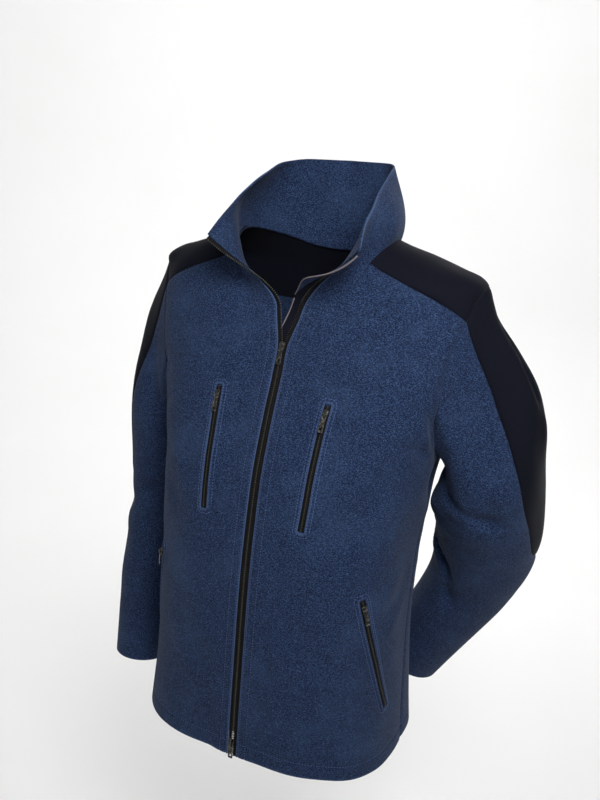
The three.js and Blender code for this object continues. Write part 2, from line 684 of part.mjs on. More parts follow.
// A pull hangs from its bar, which lies on the x axis: a flat tab with a slot for the bridge.
function pullShape() {
  const bar = PULL.thick / 2;
  const half = PULL.wide / 2;
  const foot = PULL.foot / 2;
  const tab = outline([
    [-half, bar],
    [-half, -PULL.slot],
    [-foot, 3 - PULL.long],
    [2 - foot, -PULL.long],
    [foot - 2, -PULL.long],
    [foot, 3 - PULL.long],
    [half, -PULL.slot],
    [half, bar],
  ]);
  tab.holes.push(outline([
    [-PULL.side, -bar],
    [PULL.side, -bar],
    [PULL.side, -bar - PULL.slot],
    [-PULL.side, -bar - PULL.slot],
  ]));
  const eyeAt = (a) => [EYE.radius * Math.cos(a), EYE.up - PULL.long + EYE.radius * Math.sin(a)];
  tab.holes.push(outline(steps(0, 315, 7).map(radians).map(eyeAt)));
  const shape = new THREE.ExtrudeGeometry(tab, { depth: PULL.thick, bevelEnabled: false });
  return shape.translate(0, 0, -bar);
}

// Puts a slider and its pull on a chain whose top is at this point.
function addSlider(name, { at, out, along }) {
  const across = along.clone().cross(out).normalize();
  const up = out.clone().cross(across);
  const turned = new THREE.Matrix4().makeBasis(across, up, out);
  const slider = add(`${name}_slider`, sliderShape(), METAL);
  slider.quaternion.setFromRotationMatrix(turned);
  slider.position.copy(at).addScaledVector(out, PIECE_GAP);
  const pull = add(`${name}_pull`, pullShape(), METAL);
  pull.quaternion.copy(slider.quaternion);
  pull.position.copy(slider.position).addScaledVector(out, SLIDER.thick + SLIDER.gap / 2);
}

// ---------------------------------------------------------------- the cloth
const fronts = { left: folded(front(leftArm)), right: folded(mirrored(front(rightArm))) };
const backGrid = back();
const collarGrid = collar();
const frontMeshes = {
  left: add("front_left", wall(fronts.left, WOOL), BLUE),
  right: add("front_right", wall(fronts.right, WOOL), BLUE),
};
add("back", wall(folded(backGrid), WOOL), BLUE);
add("shoulder_yoke", wall(folded(yoke(backGrid[backGrid.length - 1])), SOFT_SHELL), BLACK);
add("collar", wall(collarGrid, COLLAR_WALL), BLUE);
add("sleeve_left", wall(folded(sleeveGrid(leftArm, false)), WOOL), BLUE);
add("sleeve_left_panel", wall(folded(sleeveGrid(leftArm, true)), SOFT_SHELL), BLACK);
add("sleeve_right", wall(folded(mirrored(sleeveGrid(rightArm, false))), WOOL), BLUE);
add("sleeve_right_panel", wall(folded(mirrored(sleeveGrid(rightArm, true))), SOFT_SHELL), BLACK);

// ---------------------------------------------------------------- the front zip
// A front edge and the collar's end above it, as one line of points from the hem to the tip.
function openEdge(grid, collarColumn, sign) {
  const top = grid[grid.length - 1][0].at.z;
  const below = grid.map((row) => ({ ...row[0], share: Math.max((row[0].at.z - top) / FLAP_TURN, -1) }));
  const above = collarGrid.map((row, k) => ({ ...row[collarColumn], share: k / COLLAR_ROWS }));
  const points = [...below, ...above.slice(1)];
  return points.map((p, i) => {
    const next = points[Math.min(i + 1, points.length - 1)];
    const last = points[Math.max(i - 1, 0)];
    const along = next.at.clone().sub(last.at).normalize();
    return { ...p, across: p.out.clone().cross(along).multiplyScalar(sign).normalize() };
  });
}

const edges = {
  left: openEdge(fronts.left, 0, 1),
  right: openEdge(fronts.right, collarGrid[0].length - 1, -1),
};
Object.entries(edges).forEach(([side, edge]) => {
  add(`zip_tape_${side}`, bar(edge, () => ZIP_TAPE), BLACK);
  add(`zip_chain_${side}`, bar(edge, () => ZIP_CHAIN), COIL);
});

// The wind flap lies behind the closed zip on the wearer's left and comes out beside it on the
// collar, where a facing of wool goes on from the flap's edge.
const flap = columns(FLAP, "share");
const flapSection = (share) => ({
  from: flap.from(share),
  reach: flap.reach(share),
  low: flap.high(share) - FLAP_THICK,
  high: flap.high(share),
});
const facingSection = (share) => ({
  from: flap.reach(share) + 0.5,
  reach: flap.facing(share),
  low: flap.high(share) - FLAP_THICK,
  high: flap.high(share) + 0.6,
});
add("wind_flap", bar(edges.left.slice(1), flapSection), BLACK);
add("collar_facing", bar(edges.left.filter(({ share }) => share > 0), facingSection), BLUE);

// The middle of the closed zip at a height.
function zipAt(z) {
  const at = faceAt(0, z);
  const along = faceAt(0, z + 1).sub(faceAt(0, z - 1)).normalize();
  return { at, along, out: bodyNormal(at) };
}
Object.entries(FRONT_SLIDERS).forEach(([name, z]) => addSlider(name, zipAt(z)));

// ---------------------------------------------------------------- the pocket zips
// The point of a front's outer face that lies straight in from a point beside it.
function onFront(side, p, out) {
  const ray = new THREE.Raycaster(p.clone().addScaledVector(out, 40), out.clone().negate());
  return ray.intersectObject(frontMeshes[side])[0].point;
}

// The line of a pocket's zip from its lower end: points on the cloth with their directions.
function pocketLine(side, pocket) {
  const middle = steps(0, 1, POCKET_ROWS).map((t) => {
    const turn = lerp(pocket.bottomTurn, pocket.topTurn, t);
    const near = roundAt(turn, lerp(pocket.bottomZ, pocket.topZ, t));
    if (side === "right") near.setX(-near.x);
    return { near, out: bodyNormal(near) };
  });
  return middle.map(({ near, out }, i) => {
    const last = middle[Math.max(i - 1, 0)].near;
    const next = middle[Math.min(i + 1, POCKET_ROWS)].near;
    const along = next.clone().sub(last).normalize();
    return { at: onFront(side, near, out), out, along, across: along.clone().cross(out).normalize() };
  });
}

// A strip along that line, this wide and this far above the cloth.
function strip(side, line, wide, rise) {
  return line.map(({ at, out, across }) =>
    [-0.5, 0, 0.5].map((share) => {
      const hit = onFront(side, at.clone().addScaledVector(across, wide * share), out);
      return { at: hit.addScaledVector(out, rise), out };
    }),
  );
}

function addPocket(name, side, pocket) {
  const line = pocketLine(side, pocket);
  const tapeTop = TAPE.lift + TAPE.thick;
  const chainTop = tapeTop + PIECE_GAP + CHAIN.thick;
  add(`${name}_tape`, wall(strip(side, line, TAPE.wide, tapeTop), TAPE.thick), BLACK);
  add(`${name}_chain`, wall(strip(side, line, CHAIN.wide, chainTop), CHAIN.thick), COIL);
  const top = line[POCKET_ROWS - 1];
  addSlider(name, { ...top, at: top.at.clone().addScaledVector(top.out, chainTop) });
}

["left", "right"].forEach((side) => {
  addPocket(`chest_${side}`, side, CHEST_POCKET);
  addPocket(`hand_${side}`, side, HAND_POCKET);
});

export default jacket;
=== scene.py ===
# %% [markdown]
# # An outdoor jacket of felted wool
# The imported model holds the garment's cut: every wall of cloth at its real size and place, the two
# halves of the front zip, the pocket zips, the sliders and their pulls. It is loaded first and
# stays as it is. Everything below is laid on it, in metres, with the neck at the origin, Z up and
# the wearer facing -Y.

# %% load the cut
import bmesh
import bpy
import json
import math
import numpy as np
from mathutils import Matrix, Vector
from mathutils.bvhtree import BVHTree


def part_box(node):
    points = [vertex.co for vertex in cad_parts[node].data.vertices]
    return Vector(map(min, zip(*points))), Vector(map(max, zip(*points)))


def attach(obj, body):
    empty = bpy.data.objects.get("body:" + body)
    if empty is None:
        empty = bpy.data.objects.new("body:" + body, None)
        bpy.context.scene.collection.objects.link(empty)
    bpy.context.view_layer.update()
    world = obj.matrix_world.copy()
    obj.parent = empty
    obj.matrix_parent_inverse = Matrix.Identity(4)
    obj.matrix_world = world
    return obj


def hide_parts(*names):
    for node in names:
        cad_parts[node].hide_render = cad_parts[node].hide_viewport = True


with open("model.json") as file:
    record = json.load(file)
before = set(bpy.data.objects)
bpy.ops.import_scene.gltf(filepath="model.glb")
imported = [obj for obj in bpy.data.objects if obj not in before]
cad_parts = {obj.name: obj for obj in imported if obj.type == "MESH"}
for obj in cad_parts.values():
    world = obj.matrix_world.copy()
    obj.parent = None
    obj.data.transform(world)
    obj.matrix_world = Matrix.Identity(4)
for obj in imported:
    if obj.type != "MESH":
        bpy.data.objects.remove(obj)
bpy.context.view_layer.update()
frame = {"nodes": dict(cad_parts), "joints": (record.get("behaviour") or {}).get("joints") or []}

MM = 0.001

# %% [markdown]
# ## Camera and studio
# A camera is an empty box that looks down its own -Z. It could be aimed by a constraint, but a
# small roll would be lost, so its three axes are worked out from the way it looks and written to
# its matrix. The studio is one wide bowl of matt white, so that no edge of a floor shows behind
# the garment from any side.

# %% camera
IMAGE = (600, 800)
FOCAL_PIXELS = 774.5
CAMERA_AT = Vector((0.3948, -0.9475, 0.0708))
CAMERA_TURN = math.radians(23.32)
CAMERA_DIP = math.radians(-16.27)
CAMERA_ROLL = math.radians(3.73)
SENSOR = 36.0


def camera_axes():
    ahead = Vector((
        -math.sin(CAMERA_TURN) * math.cos(CAMERA_DIP),
        math.cos(CAMERA_TURN) * math.cos(CAMERA_DIP),
        math.sin(CAMERA_DIP),
    ))
    level = ahead.cross(Vector((0, 0, 1))).normalized()
    upright = level.cross(ahead)
    right = math.cos(CAMERA_ROLL) * level + math.sin(CAMERA_ROLL) * upright
    up = math.cos(CAMERA_ROLL) * upright - math.sin(CAMERA_ROLL) * level
    return right, up, -ahead


lens = bpy.data.cameras.new("camera")
lens.sensor_width = SENSOR
lens.lens = FOCAL_PIXELS / max(IMAGE) * SENSOR
lens.clip_start = 0.02
camera = bpy.data.objects.new("camera", lens)
bpy.context.collection.objects.link(camera)
camera.matrix_world = Matrix.Translation(CAMERA_AT) @ Matrix(camera_axes()).transposed().to_4x4()
bpy.context.scene.camera = camera
print("lens", round(lens.lens, 2), "mm")

# %% one value of a shader, with the signs of arithmetic


class Value:
    """A number that a node gives out. Arithmetic on it adds Math nodes."""

    def __init__(self, finish, socket):
        self.finish = finish
        self.socket = socket

    def _math(self, operation, *terms):
        inputs = dict(enumerate(terms))
        return self.finish.node("ShaderNodeMath", {"operation": operation}, inputs)["Value"]

    def __add__(self, other):
        return self._math("ADD", self, other)

    def __sub__(self, other):
        return self._math("SUBTRACT", self, other)

    def __rsub__(self, other):
        return self._math("SUBTRACT", other, self)

    def __mul__(self, other):
        return self._math("MULTIPLY", self, other)

    __radd__ = __add__
    __rmul__ = __mul__

    def least(self, other):
        return self._math("MINIMUM", self, other)

    def most(self, other):
        return self._math("MAXIMUM", self, other)


class Outputs:
    """The outputs of one node, by name."""

    def __init__(self, finish, node):
        self.finish = finish
        self.node = node

    def __getitem__(self, name):
        return Value(self.finish, self.node.outputs[name])


class Finish:
    """A material that is built node by node."""

    def __init__(self, name):
        self.material = bpy.data.materials.new(name)
        self.material.use_nodes = True
        self.tree = self.material.node_tree
        self.tree.nodes.clear()

    def node(self, kind, settings=None, inputs=None):
        made = self.tree.nodes.new(kind)
        for key, value in (settings or {}).items():
            if key == "stops":
                self._stops(made.color_ramp, value)
            else:
                setattr(made, key, value)
        for key, value in (inputs or {}).items():
            if isinstance(value, Value):
                self.tree.links.new(value.socket, made.inputs[key])
            else:
                made.inputs[key].default_value = value
        return Outputs(self, made)

    @staticmethod
    def _stops(ramp, stops):
        while len(ramp.elements) < len(stops):
            ramp.elements.new(1.0)
        for element, (place, colour) in zip(ramp.elements, stops):
            element.position = place
            element.color = (*colour, 1)

    def place(self):
        return self.node("ShaderNodeTexCoord")["Object"]

    def stretched(self, place, scale):
        settings = {"operation": "MULTIPLY"}
        return self.node("ShaderNodeVectorMath", settings, {0: place, 1: scale})["Vector"]

    def noise(self, place, scale, detail=2.0, roughness=0.5):
        inputs = {"Vector": place, "Scale": scale, "Detail": detail, "Roughness": roughness}
        return self.node("ShaderNodeTexNoise", {}, inputs)["Fac"]

    def ramp(self, value, stops):
        return self.node("ShaderNodeValToRGB", {"stops": stops}, {"Fac": value})["Color"]

    def blend(self, share, first, second):
        settings = {"data_type": "RGBA", "blend_type": "MIX", "clamp_factor": True}
        mixed = self.node("ShaderNodeMix", settings, {0: share, 6: first, 7: second})
        return Value(self, mixed.node.outputs[2])

    def bump(self, height, strength, distance):
        inputs = {"Height": height, "Strength": strength, "Distance": distance}
        return self.node("ShaderNodeBump", {}, inputs)["Normal"]

    def attribute(self, name):
        return self.node("ShaderNodeAttribute", {"attribute_name": name})["Fac"]

    def surface(self, inputs):
        shader = self.node("ShaderNodeBsdfPrincipled", {}, inputs)
        self.node("ShaderNodeOutputMaterial", {}, {"Surface": shader["BSDF"]})
        return self.material


def hue(red, green, blue):
    """A colour given as it looks on a screen, 0 to 255, as light."""
    def light(part):
        part = part / 255
        return part / 12.92 if part <= 0.04045 else ((part + 0.055) / 1.055) ** 2.4
    return tuple(light(part) for part in (red, green, blue))


# %% studio
FLOOR_DROP = 1.45
BOWL_RADIUS = 5.0
BOWL_HEIGHT = 5.0
WALL_WHITE = hue(245, 245, 244)


def nothing_selected():
    if bpy.context.object and bpy.context.object.mode != "OBJECT":
        bpy.ops.object.mode_set(mode="OBJECT")
    bpy.ops.object.select_all(action="DESELECT")


def studio_bowl():
    nothing_selected()
    middle = (0, 0, -FLOOR_DROP)
    bpy.ops.mesh.primitive_circle_add(vertices=96, radius=BOWL_RADIUS / 2, fill_type="NGON", location=middle)
    bowl = bpy.context.object
    bowl.name = "studio_floor"
    bpy.ops.object.transform_apply(location=True)
    bpy.ops.object.mode_set(mode="EDIT")
    bpy.ops.mesh.select_all(action="SELECT")
    bpy.ops.mesh.region_to_loop()
    turns = 10
    centre = Vector((0, 0, 0))
    radius = BOWL_RADIUS / 2
    height = 0.0
    for step in range(1, turns + 1):
        angle = math.pi / 2 * step / turns
        wider = BOWL_RADIUS / 2 * (1 + math.sin(angle))
        higher = BOWL_RADIUS / 2 * (1 - math.cos(angle))
        bpy.ops.mesh.extrude_edges_move(TRANSFORM_OT_translate={"value": (0, 0, higher - height)})
        grow = wider / radius
        bpy.ops.transform.resize(value=(grow, grow, 1), center_override=centre)
        radius = wider
        height = higher
    bpy.ops.mesh.extrude_edges_move(TRANSFORM_OT_translate={"value": (0, 0, BOWL_HEIGHT - height)})
    bpy.ops.object.mode_set(mode="OBJECT")
    bpy.ops.object.shade_smooth()
    plaster = Finish("studio_white")
    tone = plaster.noise(plaster.place(), 1.5)
    colour = plaster.blend(tone, (*WALL_WHITE, 1), (*hue(250, 250, 250), 1))
    bowl.data.materials.append(plaster.surface({"Base Color": colour, "Roughness": 0.9}))


def soft_box(name, at, size, watts, aim=(0, 0, -0.3)):
    """A large area light that looks at the chest, unless it is aimed elsewhere."""
    lamp = bpy.data.lights.new(name, "AREA")
    lamp.shape = "RECTANGLE"
    lamp.size, lamp.size_y = size
    lamp.energy = watts
    rig = bpy.data.objects.new(name, lamp)
    bpy.context.collection.objects.link(rig)
    rig.location = at
    rig.rotation_euler = (Vector(aim) - Vector(at)).to_track_quat("-Z", "Y").to_euler()
    rig.visible_camera = False


studio_bowl()
soft_box("key_light", (0.6, -0.9, 0.6), (0.5, 0.5), 21)
soft_box("fill_light", (-2.2, -1.8, 0.6), (2.0, 2.0), 3)
soft_box("back_light", (0.4, 2.6, 1.6), (2.2, 1.6), 26)
soft_box("wall_light", (-0.5, 1.6, 1.9), (1.6, 1.2), 85, aim=(-1.9, 4.2, -0.4))

world = bpy.data.worlds.new("soft_daylight")
world.use_nodes = True
world.node_tree.nodes["Background"].inputs["Color"].default_value = (1, 1, 1, 1)
world.node_tree.nodes["Background"].inputs["Strength"].default_value = 0.17
bpy.context.scene.world = world
bpy.context.scene.view_settings.view_transform = "Standard"
print("studio is ready")

# %% [markdown]
# ## Finishes
# Felted wool in a heather blue is spun from dark, middle and pale fibres. Up close it is a field
# of flecks a millimetre or two long, lying a little more across the cloth than up it, under a
# short nap that catches light at grazing angles. A picture of wool could be wrapped round the
# garment, but noise on the object's own coordinates has no seams and no repeats. The soft-shell is
# a close, smooth weave, almost black with a little blue.

# %% wool
WOOL_DARK = hue(7, 13, 32)
WOOL_MIDDLE = hue(17, 30, 60)
WOOL_PALE = hue(53, 75, 108)
# the paler colour of the painted highlight and wear on turned edges and pocket lips
WOOL_HIGHLIGHT_AND_WEAR = hue(72, 93, 130)


def heather_wool(name):
    wool = Finish(name)
    place = wool.place()
    fleck = wool.noise(wool.stretched(place, (1, 1, 1.35)), 800, 3.0, 0.7)
    fibre = wool.noise(place, 2200, 2.0, 0.6)
    streak = wool.noise(wool.stretched(place, (0.7, 0.7, 2.2)), 560, 2.0, 0.6)
    cloud = wool.noise(place, 16, 3.0, 0.6)
    blend = 0.62 * fleck + 0.38 * streak
    stops = [(0.41, WOOL_DARK), (0.5, WOOL_MIDDLE), (0.605, WOOL_PALE)]
    colour = wool.ramp(blend + 0.12 * (fibre - 0.5), stops)
    bloom = ((cloud - 0.5) * 3).most(0.0).least(1.0)
    calmer = wool.blend(0.3 * bloom, colour, (*WOOL_PALE, 1))
    # turned edges and the crests of the pocket lips are painted paler: a painted highlight, and wear
    rubbed = wool.attribute("rubbed") * (0.25 + 0.5 * fleck)
    # stitch channels are painted darker: painted shade
    pressed = wool.attribute("pressed")
    highlighted = wool.blend(rubbed, calmer, (*WOOL_HIGHLIGHT_AND_WEAR, 1))
    channel_shaded = wool.blend(0.45 * pressed, highlighted, (*WOOL_DARK, 1))
    nap = wool.bump(0.55 * fleck + 0.45 * fibre, 0.5, 0.0009)
    return wool.surface({
        "Base Color": channel_shaded,
        "Roughness": 0.82 + 0.16 * fleck,
        "Normal": nap,
        "Sheen Weight": 0.05,
        "Sheen Roughness": 0.45,
        "Sheen Tint": (0.62, 0.72, 0.95, 1),
        "Specular IOR Level": 0.18,
    })


# %% soft-shell
SHELL_BLACK = hue(9, 11, 20)
SHELL_WORN = hue(14, 16, 27)


def soft_shell(name):
    shell = Finish(name)
    place = shell.place()
    weave = shell.noise(shell.stretched(place, (1, 1, 0.6)), 1500, 2.0, 0.6)
    cloud = shell.noise(place, 14, 3.0, 0.55)
    lint = shell.noise(place, 420, 4.0, 0.7)
    dust = ((lint - 0.66) * 8).most(0.0).least(1.0)
    colour = shell.blend(cloud * 0.6, (*SHELL_BLACK, 1), (*SHELL_WORN, 1))
    dusted = shell.blend(0.25 * dust, colour, (*hue(48, 50, 62), 1))
    return shell.surface({
        "Base Color": dusted,
        "Roughness": 0.72 + 0.2 * weave,
        "Normal": shell.bump(weave, 0.28, 0.0005),
        "Sheen Weight": 0.03,
        "Sheen Roughness": 0.4,
        "Specular IOR Level": 0.08,
    })


# %% zip tape, coil, metal, thread and binding
def woven_tape(name, dark, pale, pitch):
    tape = Finish(name)
    place = tape.place()
    rib = tape.noise(tape.stretched(place, (0.5, 0.5, 1.6)), pitch, 2.0, 0.5)
    colour = tape.blend(rib, (*dark, 1), (*pale, 1))
    return tape.surface({
        "Base Color": colour,
        "Roughness": 0.7 + 0.2 * rib,
        "Normal": tape.bump(rib, 0.4, 0.0004),
        "Specular IOR Level": 0.1,
    })


def moulded_coil(name):
    coil = Finish(name)
    grain = coil.noise(coil.place(), 260, 3.0, 0.6)
    colour = coil.blend(grain, (*hue(6, 7, 7), 1), (*hue(18, 18, 16), 1))
    # the tips of the teeth are painted pale: a painted glint
    glint = coil.attribute("tip") * (0.2 + 0.8 * grain)
    highlighted = coil.blend(glint, colour, (*hue(104, 103, 88), 1))
    return coil.surface({
        "Base Color": highlighted,
        "Specular IOR Level": 0.25,
        "Roughness": 0.34 + 0.25 * grain,
        "Normal": coil.bump(grain, 0.15, 0.0003),
    })


def gun_metal(name):
    metal = Finish(name)
    place = metal.place()
    wear = metal.noise(place, 340, 4.0, 0.65)
    rubbed = ((wear - 0.5) * 5).most(0.0).least(1.0)
    colour = metal.blend(rubbed, (*hue(58, 58, 57), 1), (*hue(150, 148, 142), 1))
    return metal.surface({
        "Base Color": colour,
        "Metallic": 0.95,
        "Roughness": 0.42 - 0.16 * rubbed,
        "Normal": metal.bump(wear, 0.1, 0.0002),
    })


def twisted_thread(name, colour):
    thread = Finish(name)
    ply = thread.noise(thread.place(), 2200, 2.0, 0.5)
    paler = tuple(min(1.0, 1.5 * part) for part in colour)
    return thread.surface({
        "Base Color": thread.blend(ply, (*colour, 1), (*paler, 1)),
        "Roughness": 0.6 + 0.2 * ply,
        "Normal": thread.bump(ply, 0.3, 0.0003),
    })


FINISHES = {
    "wool": heather_wool("heather_wool"),
    "soft_shell": soft_shell("black_soft_shell"),
    "zip_tape": woven_tape("zip_tape", hue(8, 8, 10), hue(22, 21, 24), 1100),
    "zip_coil": moulded_coil("zip_coil"),
    "zip_metal": gun_metal("gun_metal"),
    "thread": twisted_thread("blue_thread", hue(64, 86, 132)),
    "binding": woven_tape("binding", hue(86, 78, 82), hue(128, 118, 120), 900),
}
print("finishes:", ", ".join(FINISHES))

# %% [markdown]
# ## Reading a wall of cloth
# In the cut every wall is a grid of points with a second grid a wall's thickness behind it, joined
# by a rim. The edges that cross the rim are exactly as long as the wall is thick, so the faces on
# them are taken away, and the larger of the two skins that are left is the outside. Each cell of
# the grid is two triangles. A walk over the skin finds which edges are the diagonals, and without
# them the rows of the grid can be read off.

# %% the outer skin of a wall
JOINED = 2e-5
LENGTH_ERROR = 4e-6


def islands(bm):
    left = set(bm.faces)
    found = []
    while left:
        island = [left.pop()]
        for face in island:
            near = {other for edge in face.edges for other in edge.link_faces} & left
            left -= near
            island.extend(near)
        found.append(island)
    return found


def outer_skin(node, wall, facing):
    """The outside of a wall, or of a strip the side that lies further along `facing`."""
    bm = bmesh.new()
    bm.from_mesh(frame["nodes"][node].data)
    bmesh.ops.remove_doubles(bm, verts=bm.verts, dist=JOINED)
    rim = [f for f in bm.faces if any(abs(e.calc_length() - wall) < LENGTH_ERROR for e in f.edges)]
    bmesh.ops.delete(bm, geom=rim, context="FACES")
    if facing is None:
        rank = lambda island: sum(face.calc_area() for face in island)
    else:
        rank = lambda island: sum((f.calc_center_median().dot(facing) for f in island)) / len(island)
    keep = set(max(islands(bm), key=rank))
    bmesh.ops.delete(bm, geom=[f for f in bm.faces if f not in keep], context="FACES")
    return bm


def without_diagonals(bm):
    corner = next(v for v in bm.verts if len(v.link_edges) == 3 and len(v.link_faces) == 2)
    diagonal = next(e for e in corner.link_edges if not e.is_boundary)
    first = diagonal.link_faces[0]
    sides = [e for e in first.edges if e is not diagonal]
    family = {diagonal: 0, sides[0]: 1, sides[1]: 2}
    waiting = [first]
    seen = {first}
    while waiting:
        face = waiting.pop()
        for edge in face.edges:
            for other in edge.link_faces:
                if other in seen:
                    continue
                seen.add(other)
                waiting.append(other)
                for new in other.edges:
                    if new is edge:
                        continue
                    near = edge.verts[0] if edge.verts[0] in new.verts else edge.verts[1]
                    far = edge.other_vert(near)
                    across = next(e for e in face.edges if e is not edge and far in e.verts)
                    family[new] = family[across]
    slanted = [edge for edge, kind in family.items() if kind == 0]
    bmesh.ops.dissolve_edges(bm, edges=slanted, use_verts=False)


# %% the rows of its grid
def boundary_walk(corner, edge):
    line = [corner]
    while True:
        line.append(edge.other_vert(line[-1]))
        if len(line[-1].link_faces) == 1:
            return line
        edge = next(e for e in line[-1].link_edges if e.is_boundary and e is not edge)


def cloth_grid(node, wall, start, across, facing=None):
    """The grid of a wall: its first row runs from the corner near `start` to the one near `across`."""
    bm = outer_skin(node, wall, facing)
    without_diagonals(bm)
    corners = [v for v in bm.verts if len(v.link_faces) == 1]
    first = min(corners, key=lambda v: (v.co - Vector(start)).length)
    walks = [boundary_walk(first, e) for e in first.link_edges]
    rows = [min(walks, key=lambda line: (line[-1].co - Vector(across)).length)]
    used = set()
    while True:
        row = rows[-1]
        above = []
        for near, far in zip(row, row[1:]):
            face = next((f for f in near.link_faces if far in f.verts and f not in used), None)
            if face is None:
                break
            used.add(face)
            ends = [next(v for v in (e.other_vert(p) for e in p.link_edges if e in face.edges) if v is not q)
                    for p, q in ((near, far), (far, near))]
            above.extend(ends if not above else ends[1:])
        if not above:
            break
        rows.append(above)
    grid = np.array([[v.co[:] for v in row] for row in rows])
    normal = sum((f.normal * f.calc_area() for f in rows[0][0].link_faces), Vector())
    bm.free()
    steps = (grid[0, 1] - grid[0, 0], grid[1, 0] - grid[0, 0])
    side = 1 if np.dot(np.cross(*steps), normal) > 0 else -1
    return grid, side


# %% [markdown]
# ## From a coarse grid to fine cloth
# A subdivision surface would round the grid, but it also pulls it in and gives the same fineness
# everywhere. A cubic spline runs through the very points of the cut, and may be read at any
# spacing: a few millimetres over the panels, and fractions of a millimetre at an edge, where the
# cloth turns, or beside a row of stitches, where it sinks. A shell is two such grids, outside and
# inside, sewn together round their rim.

# %% spline and spacing
SPACING = 0.0042
DENSE = 0.0022
SIDES = ("low", "high", "near", "far")
TURN = [0, 0.0002, 0.0005, 0.0009, 0.0014, 0.0022, 0.0036]


def chords(grid):
    far = np.linalg.norm(np.diff(grid, axis=0), axis=2).mean(axis=1)
    return np.concatenate([[0], np.cumsum(far)])


def spline(grid, count):
    """The grid with this many rows, on cubic splines that bend evenly at their ends."""
    knots = chords(grid)
    at = np.linspace(0, knots[-1], count)
    size = len(knots)
    gap = np.diff(knots)
    steep = np.diff(grid, axis=0) / gap[:, None, None]
    bend = np.zeros_like(grid)
    if size > 2:
        system = np.eye(size)
        system[0, 1] = -1
        system[-1, -2] = -1
        right = np.zeros_like(grid)
        for i in range(1, size - 1):
            system[i, i - 1:i + 2] = gap[i - 1], 2 * (gap[i - 1] + gap[i]), gap[i]
            right[i] = 6 * (steep[i] - steep[i - 1])
        bend = np.linalg.solve(system, right.reshape(size, -1)).reshape(grid.shape)
    i = np.clip(np.searchsorted(knots, at) - 1, 0, size - 2)
    near = (at - knots[i])[:, None, None]
    wide = gap[i][:, None, None]
    far = wide - near
    curved = (bend[i] * far ** 3 + bend[i + 1] * near ** 3) / (6 * wide)
    lower = (grid[i] / wide - bend[i] * wide / 6) * far
    upper = (grid[i + 1] / wide - bend[i + 1] * wide / 6) * near
    return curved + lower + upper


def spaced(grid, first, last, spacing):
    """Each column of a dense grid at distances from its two ends that are close together there."""
    along = np.linalg.norm(np.diff(grid, axis=0), axis=2)
    far = np.concatenate([np.zeros((1, grid.shape[1])), np.cumsum(along, axis=0)])
    count = max(3, int(round(far[-1].mean() / spacing)))
    made = np.zeros((len(first) + len(last) + count - 2, grid.shape[1], 3))
    for k in range(grid.shape[1]):
        whole = far[-1, k]
        shrink = min(1, 0.42 * whole / max(first[-1], last[-1]))
        low = np.array(first) * shrink
        high = whole - np.array(last)[::-1] * shrink
        at = np.concatenate([low, np.linspace(low[-1], high[0], count)[1:-1], high])
        for axis in range(3):
            made[:, k, axis] = np.interp(at, far[:, k], grid[:, k, axis])
    return made


def turned(grid):
    return np.swapaxes(grid, 0, 1)


def reach(grid):
    """How far each point is along its column from the column's first end and from its last."""
    along = np.linalg.norm(np.diff(grid, axis=0), axis=2)
    first = np.concatenate([np.zeros((1, grid.shape[1])), np.cumsum(along, axis=0)])
    return first, first[-1] - first


# %% near and far
def smooth_step(low, high, value):
    share = np.clip((value - low) / (high - low), 0, 1)
    return share * share * (3 - 2 * share)


def line_distance(points, line):
    near = np.full(points.shape[:-1], np.inf)
    for start, end in zip(line, line[1:]):
        way = end - start
        share = np.clip(((points - start) @ way) / (way @ way), 0, 1)
        near = np.minimum(near, np.linalg.norm(points - (start + share[..., None] * way), axis=-1))
    return near


# %% a sheet of cloth
COLLAR_WALL = 0.003
COLLAR_START = (.017, -.084, -.093)
COLLAR_ACROSS = (-.017, -.084, -.093)
NECK_PLAIN = (0.003, 0.008)
neck_line = cloth_grid("collar", COLLAR_WALL, COLLAR_START, COLLAR_ACROSS)[0][0]
TURN_RADIUS = 0.0011
SEAM_SINK = 0.0013
SEAM_SPREAD = 0.0030
SEAM_LAP = 0.00024
NECK_LAP = 0.0030
NECK_PIECES = ("collar", "shoulder_yoke")
STITCH_SINK = 0.0009
STITCH_SPREAD = 0.0010
# how far from a turned edge its painted highlight and wear reach
EDGE_HIGHLIGHT_WIDE = 0.0019


